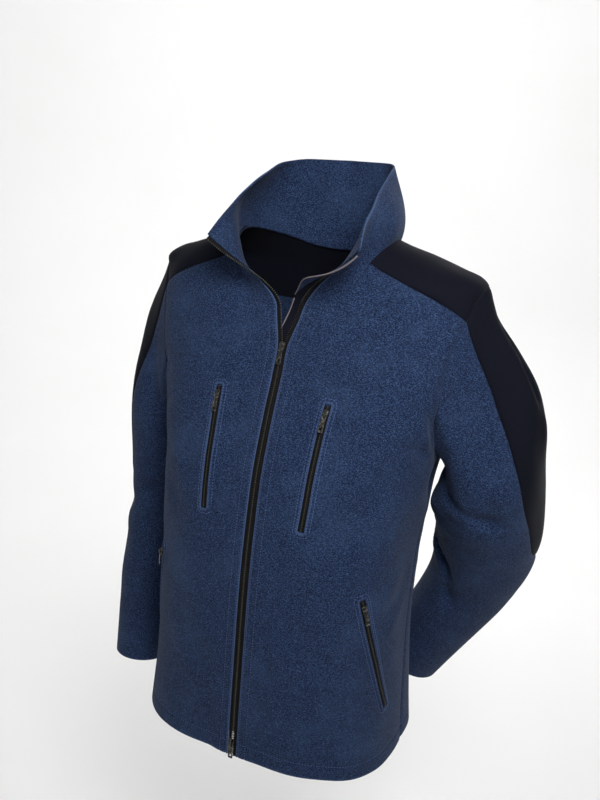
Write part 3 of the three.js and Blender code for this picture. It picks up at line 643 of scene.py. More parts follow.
class Cloth:
    """A fine sheet: its points, the way out of it, and each point's distance to its four sides."""

    def __init__(self, node, wall, start, across, facing=None, marks=None, spacing=SPACING):
        coarse, side = cloth_grid(node, wall, start, across, facing)
        marks = marks or {}
        ends = {way: sorted(set(TURN) | set(marks.get(way, []))) for way in SIDES}
        dense = spline(coarse, int(chords(coarse)[-1] / DENSE) + 2)
        dense = turned(spline(turned(dense), int(chords(turned(dense))[-1] / DENSE) + 2))
        rows = spaced(dense, ends["low"], ends["high"], spacing)
        self.points = turned(spaced(turned(rows), ends["near"], ends["far"], spacing))
        self.wall = wall
        across_step = np.gradient(self.points, axis=1)
        up_step = np.gradient(self.points, axis=0)
        out = side * np.cross(across_step, up_step)
        self.out = out / np.linalg.norm(out, axis=2, keepdims=True)
        self.low, self.high = reach(self.points)
        self.near, self.far = (turned(part) for part in reach(turned(self.points)))
        self.free = smooth_step(*NECK_PLAIN, line_distance(self.points, neck_line))
        self.push = np.zeros(self.points.shape[:2])
        self.surface_push = np.zeros(self.points.shape[:2])
        self.rubbed = np.zeros(self.points.shape[:2])
        self.pressed = np.zeros(self.points.shape[:2])

    def side(self, way):
        return {"low": self.low, "high": self.high, "near": self.near, "far": self.far}[way]

    def seam(self, *ways):
        for way in ways:
            self.surface_push -= self.free * SEAM_SINK * np.exp(-(self.side(way) / SEAM_SPREAD) ** 2)

    def stitched(self, way, distance):
        near = (self.side(way) - distance) / STITCH_SPREAD
        self.surface_push -= STITCH_SINK * np.exp(-near ** 2)
        # the channel is also painted darker: painted shade
        self.pressed = np.maximum(self.pressed, np.exp(-near ** 2))

    def highlighted(self, *ways):
        """Paints turned edges paler than the panel: a painted highlight along each turn, and wear."""
        for way in ways:
            self.rubbed = np.maximum(self.rubbed, np.exp(-(self.side(way) / EDGE_HIGHLIGHT_WIDE) ** 2))

    def lap(self, way, amount):
        """Pushes an edge out along the cloth, so that it meets the next piece."""
        at = {"low": (0, 1), "high": (-1, -2), "near": (0, 1), "far": (-1, -2)}[way]
        grid = self.points if way in ("low", "high") else turned(self.points)
        way_out = grid[at[0]] - grid[at[1]]
        way_out = way_out / np.linalg.norm(way_out, axis=1, keepdims=True)
        grid[at[0]] += amount * way_out

    def rounded(self):
        """How far the cloth drops where it turns over its four edges."""
        edge = np.minimum.reduce([self.low, self.high, self.near, self.far])
        inside = np.clip(1 - edge / TURN_RADIUS, 0, 1)
        return self.free * TURN_RADIUS * (1 - np.sqrt(1 - inside ** 2))

    def outside(self):
        return self.points + self.out * (self.push + self.surface_push - self.rounded())[..., None]

    def inside(self):
        depth = self.push - self.wall + np.minimum(self.rounded(), 0.45 * self.wall)
        return self.points + self.out * depth[..., None]

    def column(self, way, distance):
        """The points and the ways out along the row or column that lies this far from a side."""
        gap = np.abs(self.side(way) - distance)
        if way in ("near", "far"):
            k = gap.mean(axis=0).argmin()
            return self.outside()[:, k], self.out[:, k]
        k = gap.mean(axis=1).argmin()
        return self.outside()[k], self.out[k]


def shell_mesh(name, outside, inside):
    """A closed mesh between two grids of the same size."""
    rows, columns = outside.shape[:2]
    index = np.arange(rows * columns).reshape(rows, columns)
    cells = np.stack([index[:-1, :-1], index[:-1, 1:], index[1:, 1:], index[1:, :-1]], axis=2).reshape(-1, 4)
    under = cells[:, ::-1] + rows * columns
    loop = np.concatenate([index[0, :-1], index[:-1, -1], index[-1, :0:-1], index[:0:-1, 0]])
    onward = np.roll(loop, -1)
    rim = np.stack([onward, loop, loop + rows * columns, onward + rows * columns], axis=1)
    faces = np.concatenate([cells, under, rim])
    points = np.concatenate([outside.reshape(-1, 3), inside.reshape(-1, 3)])
    mesh = bpy.data.meshes.new(name)
    mesh.from_pydata(points.tolist(), [], faces.tolist())
    mesh.update()
    return mesh


def mark(mesh, name, grid):
    """Writes a number for each point of the outside of a shell, and again for the inside."""
    values = np.concatenate([grid.ravel(), np.zeros(grid.size)])
    mesh.attributes.new(name, "FLOAT", "POINT").data.foreach_set("value", values)


def face_outwards(mesh):
    bm = bmesh.new()
    bm.from_mesh(mesh)
    if bm.calc_volume(signed=True) < 0:
        bmesh.ops.reverse_faces(bm, faces=bm.faces)
    bm.to_mesh(mesh)
    bm.free()


def piece(name, mesh, finish, body="root", replaces=()):
    """Puts a finished mesh into the scene as a piece of the garment."""
    made = bpy.data.objects.new(name, mesh)
    bpy.context.collection.objects.link(made)
    mesh.materials.clear()
    mesh.materials.append(FINISHES[finish])
    mesh.polygons.foreach_set("use_smooth", [True] * len(mesh.polygons))
    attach(made, body)
    if replaces:
        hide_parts(*replaces)
    return made


# %% [markdown]
# ## Creases
# Worn wool does not fold sharply: it buckles where a limb bends or where a strap of cloth is
# pulled, into soft troughs with a low ridge on each side that fade at both ends. Each one here is
# a line, a depth and a width, chosen one by one and uneven on purpose. Over all of them goes a
# very low, slow swell, because no panel of a worn garment is a perfect surface.

# %% crease lines: from, to, depth and half width in millimetres
CREASES = [
    # the bent left arm, at the crook and below it
    ((204, -14, -316), (274, -24, -338), 4.4, 9),
    ((196, 8, -352), (232, 0, -362), 2.4, 8),
    ((182, 58, -408), (208, 46, -466), 5.6, 10),
    ((204, 46, -470), (214, 62, -515), 2.4, 9),
    ((282, 40, -352), (300, 92, -392), 1.6, 14),
    ((240, 46, -420), (262, 84, -436), 1.8, 12),
    ((196, 76, -520), (176, 92, -560), 1.5, 10),
    ((180, 150, -545), (206, 168, -560), 1.6, 11),
    ((160, 108, -600), (134, 112, -628), 1.3, 9),
    # behind the left elbow
    ((286, 150, -430), (246, 176, -462), 2.0, 12),
    ((268, 128, -476), (238, 166, -500), 1.6, 10),
    # the hanging right arm
    ((-212, -34, -392), (-262, -32, -412), 2.6, 9),
    ((-216, -38, -446), (-268, -30, -462), 2.4, 10),
    ((-222, -30, -512), (-262, -46, -524), 1.5, 10),
    ((-280, 72, -402), (-222, 92, -418), 2.2, 11),
    ((-270, 66, -462), (-226, 74, -474), 1.6, 10),
    ((-230, -34, -600), (-262, -44, -612), 1.2, 11),
    # where the sleeves meet the body, front and back
    ((184, -70, -190), (196, -48, -250), 2.2, 8),
    ((176, -86, -232), (190, -52, -272), 1.8, 10),
    ((-182, -72, -178), (-196, -50, -238), 2.0, 8),
    ((186, 88, -176), (192, 74, -250), 2.2, 10),
    ((-184, 90, -188), (-192, 74, -252), 2.0, 10),
    ((170, 104, -150), (150, 116, -208), 1.6, 14),
    ((-168, 106, -162), (-146, 116, -230), 1.6, 13),
    # the body: chest, waist, skirt and back
    ((150, -108, -270), (96, -150, -350), 1.6, 16),
    ((-148, -112, -290), (-108, -152, -360), 1.5, 15),
    ((172, -52, -430), (140, -132, -498), 1.7, 15),
    ((-170, -48, -418), (-146, -126, -470), 1.6, 15),
    ((60, -172, -470), (104, -164, -520), 1.2, 17),
    ((-84, -170, -500), (-50, -176, -560), 1.2, 18),
    ((176, 30, -410), (130, 92, -440), 1.9, 14),
    ((-176, 22, -400), (-118, 98, -428), 1.8, 14),
    ((-30, 108, -330), (52, 106, -352), 1.4, 16),
    ((-60, 104, -404), (22, 102, -420), 1.3, 15),
    ((120, 108, -560), (126, 116, -690), 1.8, 18),
    ((-122, 108, -540), (-128, 116, -690), 1.7, 17),
]
FULLNESS = {
    # above the crook of the bent left arm the cloth is pushed out towards the body
    "sleeve_left": [((194, 6, -322), (190, 26, -356), -6.4, 23)],
}
CREASE_DEPTH = 1.6
SWELL = 0.0013
SWELL_SEED = 5


def crease_push(points, creases):
    """How far the creases move each point along its way out."""
    push = np.zeros(points.shape[:-1])
    for start, end, depth, wide in creases:
        start, end = np.array(start) * MM, np.array(end) * MM
        way = end - start
        share = ((points - start) @ way) / (way @ way)
        inside = np.clip(share, 0, 1)
        near = np.linalg.norm(points - (start + inside[..., None] * way), axis=-1) / (wide * MM)
        fade = 1 - 0.55 * np.abs(2 * inside - 1) ** 2
        trough = np.exp(-near ** 2) - 0.38 * np.exp(-(near - 1.75) ** 2 / 0.5)
        push -= CREASE_DEPTH * depth * MM * fade * trough
    return push


def swell_push(points):
    """A low swell made of a few slow waves that run in chance directions."""
    chance = np.random.default_rng(SWELL_SEED)
    push = np.zeros(points.shape[:-1])
    for wave in (0.052, 0.067, 0.081, 0.104, 0.131, 0.17):
        way = chance.normal(size=3)
        way = way / np.linalg.norm(way)
        push += wave * np.sin(2 * np.pi * (points @ way) / wave + chance.uniform(0, 6.28))
    return SWELL * push / 0.25


# %% calm cloth beside the zips
CALM = (0.014, 0.040)
POCKETS = {
    "chest_left": ((.066, -.162, -.342), (.069, -.162, -.343)),
    "chest_right": ((-.069, -.162, -.343), (-.066, -.162, -.342)),
    "hand_left": ((.176, -.089, -.600), (.177, -.086, -.599)),
    "hand_right": ((-.177, -.086, -.599), (-.176, -.089, -.600)),
}
COIL_WALL = 0.001


def pocket_line(name):
    """The middle of a pocket's zip, from its lower end up, on top of the teeth."""
    start, across = POCKETS[name]
    grid, side = cloth_grid(name + "_chain", COIL_WALL, start, across, facing=Vector((0, -1, 0)))
    out = side * np.cross(np.gradient(grid, axis=1), np.gradient(grid, axis=0))
    return grid[:, 1], (out / np.linalg.norm(out, axis=2, keepdims=True))[:, 1]


pocket_lines = {name: pocket_line(name) for name in POCKETS}


def calm(points):
    """0 beside a zip, which holds the cloth flat, and 1 away from it."""
    far = np.where(points[..., 1] < 0, np.abs(points[..., 0]), 1.0)
    for line, _ in pocket_lines.values():
        far = np.minimum(far, line_distance(points, line))
    return smooth_step(*CALM, far)


print("creases:", len(CREASES))

# %% [markdown]
# ## The sewn pieces
# Each piece of the cut becomes one sheet, named as in the cut. `low` is the side of the grid where
# it was started and `near` the end of its rows: the hem and the zip's edge on a front. A seam sinks
# where two pieces meet. An edge that is only turned keeps its round lip. Rows of stitches press a
# narrow channel into the felt, so the grid is closer there.

# %% which corner each grid starts from, and what its sides are
WOOL = 0.0024
SHELL = 0.0016
EDGE_STITCH = 0.0030
FACING_STITCH = 0.0125
HEM_STITCH = 0.0200


def channel(distance):
    return [distance + step * MM for step in (-2.2, -1.4, -0.9, -0.45, 0, 0.45, 0.9, 1.4, 2.2)]


EDGE_MARKS = channel(EDGE_STITCH)[2:] + channel(FACING_STITCH)
HEM_MARKS = channel(HEM_STITCH) + [0.007, 0.012]
PATTERN = {
    "front_left": dict(
        wall=WOOL, start=(.006, -.185, -.678), across=(.187, -.025, -.692), seams=("far", "high"),
        stitches=(("near", EDGE_STITCH), ("near", FACING_STITCH), ("low", HEM_STITCH)),
        marks={"near": EDGE_MARKS, "low": HEM_MARKS}),
    "front_right": dict(
        wall=WOOL, start=(-.006, -.185, -.678), across=(-.187, -.025, -.692), seams=("far", "high"),
        stitches=(("near", EDGE_STITCH), ("near", FACING_STITCH), ("low", HEM_STITCH)),
        marks={"near": EDGE_MARKS, "low": HEM_MARKS}),
    "back": dict(
        wall=WOOL, start=(.187, -.025, -.692), across=(-.187, -.025, -.692),
        seams=("near", "far", "high"), stitches=(("low", HEM_STITCH),), marks={"low": HEM_MARKS}),
    "shoulder_yoke": dict(
        wall=SHELL, start=(.089, -.057, -.028), across=(-.089, -.057, -.028),
        seams=("near", "far", "low", "high"), stitches=(), marks={}),
    "collar": dict(
        wall=COLLAR_WALL, start=COLLAR_START, across=COLLAR_ACROSS, seams=("low",),
        stitches=(("near", EDGE_STITCH), ("far", EDGE_STITCH)),
        marks={"near": EDGE_MARKS[:7], "far": EDGE_MARKS[:7]}),
    "sleeve_left": dict(
        wall=WOOL, start=(.211, -.038, -.085), across=(.202, .061, -.101),
        seams=("near", "far", "low"), stitches=(), marks={}),
    "sleeve_left_panel": dict(
        wall=SHELL, start=(.211, -.038, -.085), across=(.202, .061, -.100),
        seams=("near", "far", "low", "high"), stitches=(), marks={}),
    "sleeve_right": dict(
        wall=WOOL, start=(-.211, -.038, -.085), across=(-.202, .061, -.101),
        seams=("near", "far", "low"), stitches=(), marks={}),
    "sleeve_right_panel": dict(
        wall=SHELL, start=(-.211, -.038, -.085), across=(-.202, .061, -.100),
        seams=("near", "far", "low", "high"), stitches=(), marks={}),
}


def sewn(name, wall, start, across, seams, stitches, marks):
    cloth = Cloth(name, wall, start, across, marks=marks)
    creases = CREASES + FULLNESS.get(name, [])
    cloth.push = calm(cloth.points) * (crease_push(cloth.points, creases) + swell_push(cloth.points))
    cloth.seam(*seams)
    for way in seams:
        cloth.lap(way, NECK_LAP if way == "low" and name in NECK_PIECES else SEAM_LAP)
    for way, distance in stitches:
        cloth.stitched(way, distance)
    cloth.highlighted(*(way for way in SIDES if way not in seams))
    return cloth


cloths = {name: sewn(name, **given) for name, given in PATTERN.items()}
for name, cloth in cloths.items():
    area = float(cloth.low[-1].mean() * cloth.near[:, -1].mean())
    print(name, cloth.points.shape[:2], "area", round(area, 4))

# %% the sheets become pieces
BLACK_PIECES = ("shoulder_yoke", "sleeve_left_panel", "sleeve_right_panel")
pieces = {}
for name, cloth in cloths.items():
    mesh = shell_mesh(name + "_cloth", cloth.outside(), cloth.inside())
    face_outwards(mesh)
    finish = "soft_shell" if name in BLACK_PIECES else "wool"
    if finish == "wool":
        # painted highlight and wear on turned edges, and painted shade in the stitch channels
        mark(mesh, "rubbed", cloth.rubbed)
        mark(mesh, "pressed", cloth.pressed)
    pieces[name] = piece(name + "_cloth", mesh, finish, replaces=(name,))
print("triangles in the cloth:", sum(2 * len(made.data.polygons) for made in pieces.values()))

# %% [markdown]
# ## Lines that trims follow
# A zip, a binding or a row of stitches follows a line on the cloth. Such a line keeps, for each of
# its points, the way out of the cloth, the way along and the way across. A strip is a small
# section swept along it, and small parts that repeat are one modelled part copied along it.

# %% a line on the cloth


def unit(vectors):
    return vectors / np.maximum(np.linalg.norm(vectors, axis=-1, keepdims=True), 1e-12)


class Line:
    """Points in order on the cloth, with three ways at each: along, out and across."""

    def __init__(self, points, out):
        self.points = np.array(points)
        self.along = unit(np.gradient(self.points, axis=0))
        self.out = unit(out - (out * self.along).sum(axis=1)[:, None] * self.along)
        self.across = np.cross(self.along, self.out)
        gaps = np.linalg.norm(np.diff(self.points, axis=0), axis=1)
        self.far = np.concatenate([[0], np.cumsum(gaps)])

    def length(self):
        return float(self.far[-1])

    def at(self, distances):
        points = np.stack([np.interp(distances, self.far, self.points[:, k]) for k in range(3)], axis=1)
        out = np.stack([np.interp(distances, self.far, self.out[:, k]) for k in range(3)], axis=1)
        return Line(points, out)

    def even(self, pitch, start=0.0, end=None):
        last = self.length() if end is None else end
        return self.at(np.arange(start, last + 1e-9, pitch))

    def moved(self, across, rise):
        return Line(self.points + across * self.across + rise * self.out, self.out)

    def basis(self):
        return np.stack([self.across, self.along, self.out], axis=1)


def swept(name, line, section):
    """A closed strip: a section of (across, out) points carried along a line."""
    section = np.array(section)
    rings = line.points[:, None] + section[None, :, :1] * line.across[:, None]
    rings = rings + section[None, :, 1:] * line.out[:, None]
    return ring_mesh(name, rings)


def ring_mesh(name, rings, joined=False):
    """A mesh through closed rings of points, with its two ends closed or joined to each other."""
    count, size = rings.shape[:2]
    index = np.arange(count * size).reshape(count, size)
    here = index if joined else index[:-1]
    there = np.roll(index, -1, axis=0) if joined else index[1:]
    sides = np.stack([here, np.roll(here, -1, axis=1), np.roll(there, -1, axis=1), there], axis=2)
    faces = sides.reshape(-1, 4).tolist()
    if not joined:
        faces += [index[0, ::-1].tolist(), index[-1].tolist()]
    mesh = bpy.data.meshes.new(name)
    mesh.from_pydata(rings.reshape(-1, 3).tolist(), [], faces)
    mesh.update()
    face_outwards(mesh)
    return mesh


def round_section(radius, sides=8, across=0.0, rise=0.0):
    turns = np.arange(sides) * 2 * np.pi / sides
    return [(across + radius * math.cos(a), rise + radius * math.sin(a)) for a in turns]


def box_section(low_side, high_side, low, high, corner):
    """A box with its corners cut, from one side to the other and from one level to the other."""
    return [
        (low_side + corner, low), (high_side - corner, low), (high_side, low + corner),
        (high_side, high - corner), (high_side - corner, high), (low_side + corner, high),
        (low_side, high - corner), (low_side, low + corner),
    ]


def copied(name, part, frames, tip=None):
    """One mesh of many copies of a part, at each point of several lines, marked at its far end."""
    shape = np.array([v.co[:] for v in part.vertices])
    faces = [list(p.vertices) for p in part.polygons]
    points, sides = [], []
    for line in frames:
        basis = line.basis()
        for at, ways in zip(line.points, basis):
            start = len(points) * len(shape)
            points.append(at + shape @ ways)
            sides += [[k + start for k in face] for face in faces]
    mesh = bpy.data.meshes.new(name)
    mesh.from_pydata(np.concatenate(points).tolist(), [], sides)
    mesh.update()
    # the far end of each copy is marked, for the painted glint on the tips of zip teeth
    if tip is not None:
        ends = np.tile(smooth_step(*tip, shape[:, 0]), len(points))
        mesh.attributes.new("tip", "FLOAT", "POINT").data.foreach_set("value", ends)
    return mesh


# %% [markdown]
# ## Small parts, modelled one by one
# A tooth, a stitch, a slider and a pull are each modelled once at the origin: X is across the zip,
# Y is up it and Z is out of the cloth. Each starts from a primitive and is shaped in edit mode by
# picking faces or edges by their place. What is finished is taken out as a bare mesh, to be copied.

# %% picking and shaping


def pick(test, kind="faces"):
    """Selects, in edit mode, only the faces, edges or vertices that pass a test of their middle."""
    bpy.ops.mesh.select_all(action="DESELECT")
    mode = {"faces": "FACE", "edges": "EDGE", "verts": "VERT"}[kind]
    bpy.ops.mesh.select_mode(type=mode)
    shape = bmesh.from_edit_mesh(bpy.context.object.data)
    for part in getattr(shape, kind):
        if kind == "faces":
            middle, way = part.calc_center_median(), part.normal
        elif kind == "edges":
            middle = (part.verts[0].co + part.verts[1].co) / 2
            way = (part.verts[1].co - part.verts[0].co).normalized()
        else:
            middle, way = part.co, part.normal
        if test(middle, way):
            part.select_set(True)
    shape.select_flush_mode()
    bmesh.update_edit_mesh(bpy.context.object.data)


def block(size, at):
    """A box at its size and place, in edit mode."""
    nothing_selected()
    bpy.ops.mesh.primitive_cube_add(size=1, location=at)
    bpy.ops.transform.resize(value=size)
    bpy.ops.object.transform_apply(location=True, rotation=True, scale=True)
    bpy.ops.object.mode_set(mode="EDIT")


def softened(width, segments=2, angle=30, rounds=0):
    """Bevels the edges of the part in hand, rounds it if asked, and leaves edit mode."""
    bpy.ops.object.mode_set(mode="OBJECT")
    part = bpy.context.object
    bevel = part.modifiers.new("bevel", "BEVEL")
    bevel.width = width
    bevel.segments = segments
    bevel.limit_method = "ANGLE"
    bevel.angle_limit = math.radians(angle)
    bpy.ops.object.modifier_apply(modifier=bevel.name)
    if rounds:
        smooth = part.modifiers.new("smooth", "SUBSURF")
        smooth.levels = smooth.render_levels = rounds
        bpy.ops.object.modifier_apply(modifier=smooth.name)
    return part


def taken(*parts):
    """The parts as one bare mesh; their objects are removed."""
    nothing_selected()
    for part in parts:
        part.select_set(True)
    bpy.context.view_layer.objects.active = parts[0]
    if len(parts) > 1:
        bpy.ops.object.join()
    mesh = bpy.context.object.data
    bpy.data.objects.remove(bpy.context.object)
    return mesh


# %% a tooth and a stitch
def tooth(length, wide, high):
    """A moulded tooth that points along +X, with a slimmer head."""
    block((0.7 * length, wide, high), (0.35 * length, 0, 0))
    pick(lambda middle, way: way.x > 0.9)
    bpy.ops.mesh.extrude_region_move(TRANSFORM_OT_translate={"value": (0.3 * length, 0, 0)})
    bpy.ops.transform.resize(value=(1, 0.72, 0.8))
    return taken(softened(0.16 * wide, segments=1))


def stitch(length, thick):
    """One stitch: a fat grain of thread that sinks at both ends."""
    nothing_selected()
    bpy.ops.mesh.primitive_uv_sphere_add(segments=6, ring_count=4, radius=0.5)
    bpy.ops.object.mode_set(mode="EDIT")
    bpy.ops.mesh.select_all(action="SELECT")
    bpy.ops.transform.resize(value=(thick, length, 0.8 * thick))
    pick(lambda middle, way: abs(middle.y) > 0.4 * length, "verts")
    bpy.ops.transform.translate(value=(0, 0, -0.35 * thick))
    bpy.ops.object.mode_set(mode="OBJECT")
    return taken(bpy.context.object)


TOOTH = {"front": tooth(3.1 * MM, 1.25 * MM, 1.5 * MM), "pocket": tooth(1.95 * MM, 1.0 * MM, 1.1 * MM)}
STITCH = stitch(2.9 * MM, 0.55 * MM)
print("tooth faces", len(TOOTH["front"].polygons), "stitch faces", len(STITCH.polygons))

# %% the slider
SLIDER_LONG = 0.011
SLIDER_WIDE = 0.0072
SLIDER_TOP = -0.001
SLIDER_THICK = 0.0009
FLANGE = 0.0012


def slider():
    """The slider, drawn about the bar that its pull swings on."""
    block((SLIDER_WIDE, SLIDER_LONG, SLIDER_THICK), (0, 0, SLIDER_TOP - SLIDER_THICK / 2))
    pick(lambda middle, way: middle.y > 0.4 * SLIDER_LONG and abs(way.z) > 0.9, "edges")
    bpy.ops.mesh.bevel(offset=0.0021, segments=4)
    pick(lambda middle, way: middle.y < -0.4 * SLIDER_LONG, "verts")
    bpy.ops.transform.resize(value=(0.76, 1, 1))
    pick(lambda middle, way: way.z < -0.9)
    bpy.ops.mesh.inset(thickness=0.00065)
    side = 0.4 * SLIDER_WIDE / 2
    pick(lambda middle, way: way.z < -0.9 and abs(middle.x) > side)
    bpy.ops.mesh.extrude_region_move(TRANSFORM_OT_translate={"value": (0, 0, -FLANGE)})
    plate = softened(0.00028)
    block((0.0019, 0.0066, 0.0009), (0, 0, 0.00145))
    for way in (-1, 1):
        bpy.ops.mesh.select_all(action="SELECT")
        bpy.ops.mesh.bisect(plane_co=(0, way * 0.0023, 0), plane_no=(0, 1, 0))
    pick(lambda middle, way: way.z < -0.9 and abs(middle.y) > 0.0023)
    bpy.ops.mesh.extrude_region_move(TRANSFORM_OT_translate={"value": (0, 0, -0.0024)})
    pick(lambda middle, way: abs(middle.y) > 0.0032 and middle.z > 0.0018 and abs(way.x) > 0.9, "edges")
    bpy.ops.mesh.bevel(offset=0.0008, segments=3)
    bridge = softened(0.00022)
    return taken(plate, bridge)


# %% the pull
PULL_ROWS = [0.6, -0.6, -5.4, -8.5, -16.9, -20.1, -23.0]
PULL_HALF = [3.0, 3.1, 3.2, 2.6, 3.2, 3.6, 3.0]
PULL_SLOT = 1.5
PULL_THICK = 0.0011


def pull():
    """A flat tab with a slot at its bar, a waist, and an eye near its foot."""
    nothing_selected()
    bpy.ops.mesh.primitive_grid_add(x_subdivisions=3, y_subdivisions=len(PULL_ROWS) - 1, size=2)
    shape = bpy.context.object
    for k, vertex in enumerate(shape.data.vertices):
        column, row = k % 4, len(PULL_ROWS) - 1 - k // 4
        inner = PULL_SLOT / PULL_HALF[row]
        side = (-1, -inner, inner, 1)[column]
        vertex.co = (side * PULL_HALF[row] * MM, PULL_ROWS[row] * MM, 0)
    bpy.ops.object.mode_set(mode="EDIT")
    middles = [(PULL_ROWS[i] + PULL_ROWS[i + 1]) / 2 * MM for i in (1, 4)]
    pick(lambda middle, way: abs(middle.x) < 0.0005 and min(abs(middle.y - m) for m in middles) < 0.0004)
    bpy.ops.mesh.delete(type="FACE")
    bpy.ops.object.mode_set(mode="OBJECT")
    wall = shape.modifiers.new("wall", "SOLIDIFY")
    wall.thickness = PULL_THICK
    wall.offset = 0
    bpy.ops.object.modifier_apply(modifier=wall.name)
    return taken(softened(0.00030, segments=2, rounds=1))


SLIDER = slider()
PULL = pull()
for mesh in (*TOOTH.values(), STITCH, SLIDER, PULL):
    face_outwards(mesh)
print("slider faces", len(SLIDER.polygons), "pull faces", len(PULL.polygons))

# %% [markdown]
# ## The front zip
# The halves of the zip are sewn behind the turned edges of the fronts and run on up the ends of
# the collar. Each half is a woven tape, a cord along its edge, and teeth that grip the cord. The
# teeth of the two halves stand half a pitch apart, so below the upper slider they mesh.

# %% the edges that carry it
TEETH_PITCH = 0.0026
TAPE_SECTION = dict(low_side=0.0001, high_side=0.0033, low=-0.0021, high=-0.0013, corner=0.0002)
CORD_SECTION = dict(radius=0.00085, across=0.0037, rise=-0.0012)
TOOTH_FROM = 0.0031
TOOTH_RISE = -0.0012
# where along a tooth its painted glint begins and where it is full
FRONT_TIP_GLINT = (0.0024, 0.0030)


def open_edge(front, way):
    """The edge of a front and the end of the collar above it, as one line from the hem up."""
    cloth, collar = cloths[front], cloths["collar"]
    k = 0 if way == "near" else -1
    lower = cloth.points + cloth.out * cloth.push[..., None]
    upper = collar.points + collar.out * collar.push[..., None]
    points = np.concatenate([lower[:-2, 0], upper[3:, k]])
    out = np.concatenate([cloth.out[:-2, 0], collar.out[3:, k]])
    line = Line(points, out).even(0.004)
    soft = line.out.copy()
    for _ in range(3):
        soft[1:-1] = (soft[:-2] + 2 * soft[1:-1] + soft[2:]) / 4
    return Line(line.points, soft)


def toward_gap(sign,section):
    """A section drawn from the cloth's edge towards the gap between the two halves."""
    return [(sign * side, rise) for side, rise in section]


zip_edges = {"left": open_edge("front_left", "near"), "right": open_edge("front_right", "far")}
GAP_SIGN = {"left": -1, "right": 1}

# %% tapes and teeth
for side, line in zip_edges.items():
    sign = GAP_SIGN[side]
    tape = swept("zip_tape_" + side, line, toward_gap(sign,box_section(**TAPE_SECTION)))
    piece("front_zip_tape_" + side, tape, "zip_tape", replaces=("zip_tape_" + side,))
    cord = swept("zip_cord_" + side, line, toward_gap(sign,round_section(**CORD_SECTION)))
    piece("front_zip_cord_" + side, cord, "zip_tape")
    start = 0.003 + (TEETH_PITCH / 2 if side == "left" else 0)
    rows = line.even(TEETH_PITCH, start=start, end=line.length() - 0.002)
    seat = Line(rows.points + sign * TOOTH_FROM * rows.across + TOOTH_RISE * rows.out, rows.out)
    seat.across = sign * seat.across
    seat.along = sign * seat.along
    teeth = copied("zip_teeth_" + side, TOOTH["front"], [seat], tip=FRONT_TIP_GLINT)
    piece("front_zip_teeth_" + side, teeth, "zip_coil", replaces=("zip_chain_" + side,))
    print(side, "zip", round(line.length(), 3), "m,", len(rows.points), "teeth")

# %% [markdown]
# ## The wind flap, the collar's facing and their binding
# Behind the zip, on the wearer's left, lies a flap of soft-shell that keeps wind off the teeth.
# Where the zip opens it comes out beside the collar's edge as a dark wedge, and beyond it a strip
# of wool faces the collar, narrow at its foot. Both have a bound edge, a narrow tube of tape.

# %% flap and facing
FLAP_WALL = 0.001
FACING_WALL = 0.0016
BINDING_RADIUS = 0.0009
BINDING_FROM = -0.175
FLAP_TOP = -0.074
FACING_FOOT = 0.045
FOOT_SHARE = 0.2
ahead = Vector((0, -1, -0.4))
flap = Cloth("wind_flap", FLAP_WALL, (.018, -.180, -.644), (-.013, -.180, -.644), ahead)
facing = Cloth("collar_facing", FACING_WALL, (.006, -.081, -.072), (.003, -.081, -.071), ahead)
sewn_side = facing.points[:, :1]
facing_share = FOOT_SHARE + (1 - FOOT_SHARE) * smooth_step(0, FACING_FOOT, facing.low)[..., None]
facing.points = sewn_side + (facing.points - sewn_side) * facing_share
for name, cloth, finish in (("wind_flap", flap, "soft_shell"), ("collar_facing", facing, "wool")):
    mesh = shell_mesh(name + "_cloth", cloth.outside(), cloth.inside())
    face_outwards(mesh)
    cloths[name] = cloth
    pieces[name] = piece(name + "_cloth", mesh, finish, replaces=(name,))

# %% binding
def bound_edge(cloth, low, high):
    middle = cloth.points[:, -1] - cloth.out[:, -1] * cloth.wall / 2
    inside = (middle[:, 2] > low) & (middle[:, 2] < high)
    return Line(middle[inside], cloth.out[:, -1][inside]).even(0.003)


bindings = [bound_edge(flap, BINDING_FROM, FLAP_TOP), bound_edge(facing, -1, 1)]
for name, line in zip(("wind_flap_binding", "facing_binding"), bindings):
    mesh = swept(name, line, round_section(BINDING_RADIUS, sides=10))
    piece(name, mesh, "binding")
print("bindings", [round(line.length(), 3) for line in bindings])

# %% [markdown]
# ## Pocket zips and their lips
# Each pocket is a slit whose edges are turned over a second layer of wool. They stand up round the
# zip as a soft lip a couple of millimetres high that runs out into the cloth. The lip is drawn on
# the flat as rounded outlines, each further from the slit, and each point is then laid on the
# front's cloth at its own height. The pocket's zip lies in the slit: a tape and two rows of teeth.

# %% the surface of a front
POCKET_TEETH = 0.0020
# where along a pocket tooth its painted glint begins and where it is full
POCKET_TIP_GLINT = (0.0014, 0.0019)
POCKET_TAPE = dict(low_side=-0.0044, high_side=0.0044, low=-0.0011, high=-0.0003, corner=0.0002)
LIP = [(4.1, -1.0), (4.1, 0.9), (4.3, 1.5), (4.8, 1.9), (5.6, 2.0), (6.4, 1.55), (7.0, 1.4), (8.2, 1.25),
       (9.6, 0.7), (10.5, 0.1), (11.0, 0.15), (11.8, -0.5), (7.5, -1.2)]
LIP_CREST = 4.9
# how strongly the crest of each kind of pocket lip is painted paler: a painted highlight, stronger on the
# chest pockets, and wear
LIP_HIGHLIGHT_AND_WEAR = {"chest": 0.9, "hand": 0.3}
LIP_STITCHES = (6.7, 10.6)
SLIT_END = 0.0015


def surface_tree(cloth):
    outside = cloth.outside()
    rows, columns = outside.shape[:2]
    index = np.arange(rows * columns).reshape(rows, columns)
    cells = np.stack([index[:-1, :-1], index[:-1, 1:], index[1:, 1:], index[1:, :-1]], axis=2).reshape(-1, 4)
    return BVHTree.FromPolygons(outside.reshape(-1, 3).tolist(), cells.tolist())


trees = {side: surface_tree(cloths["front_" + side]) for side in ("left", "right")}


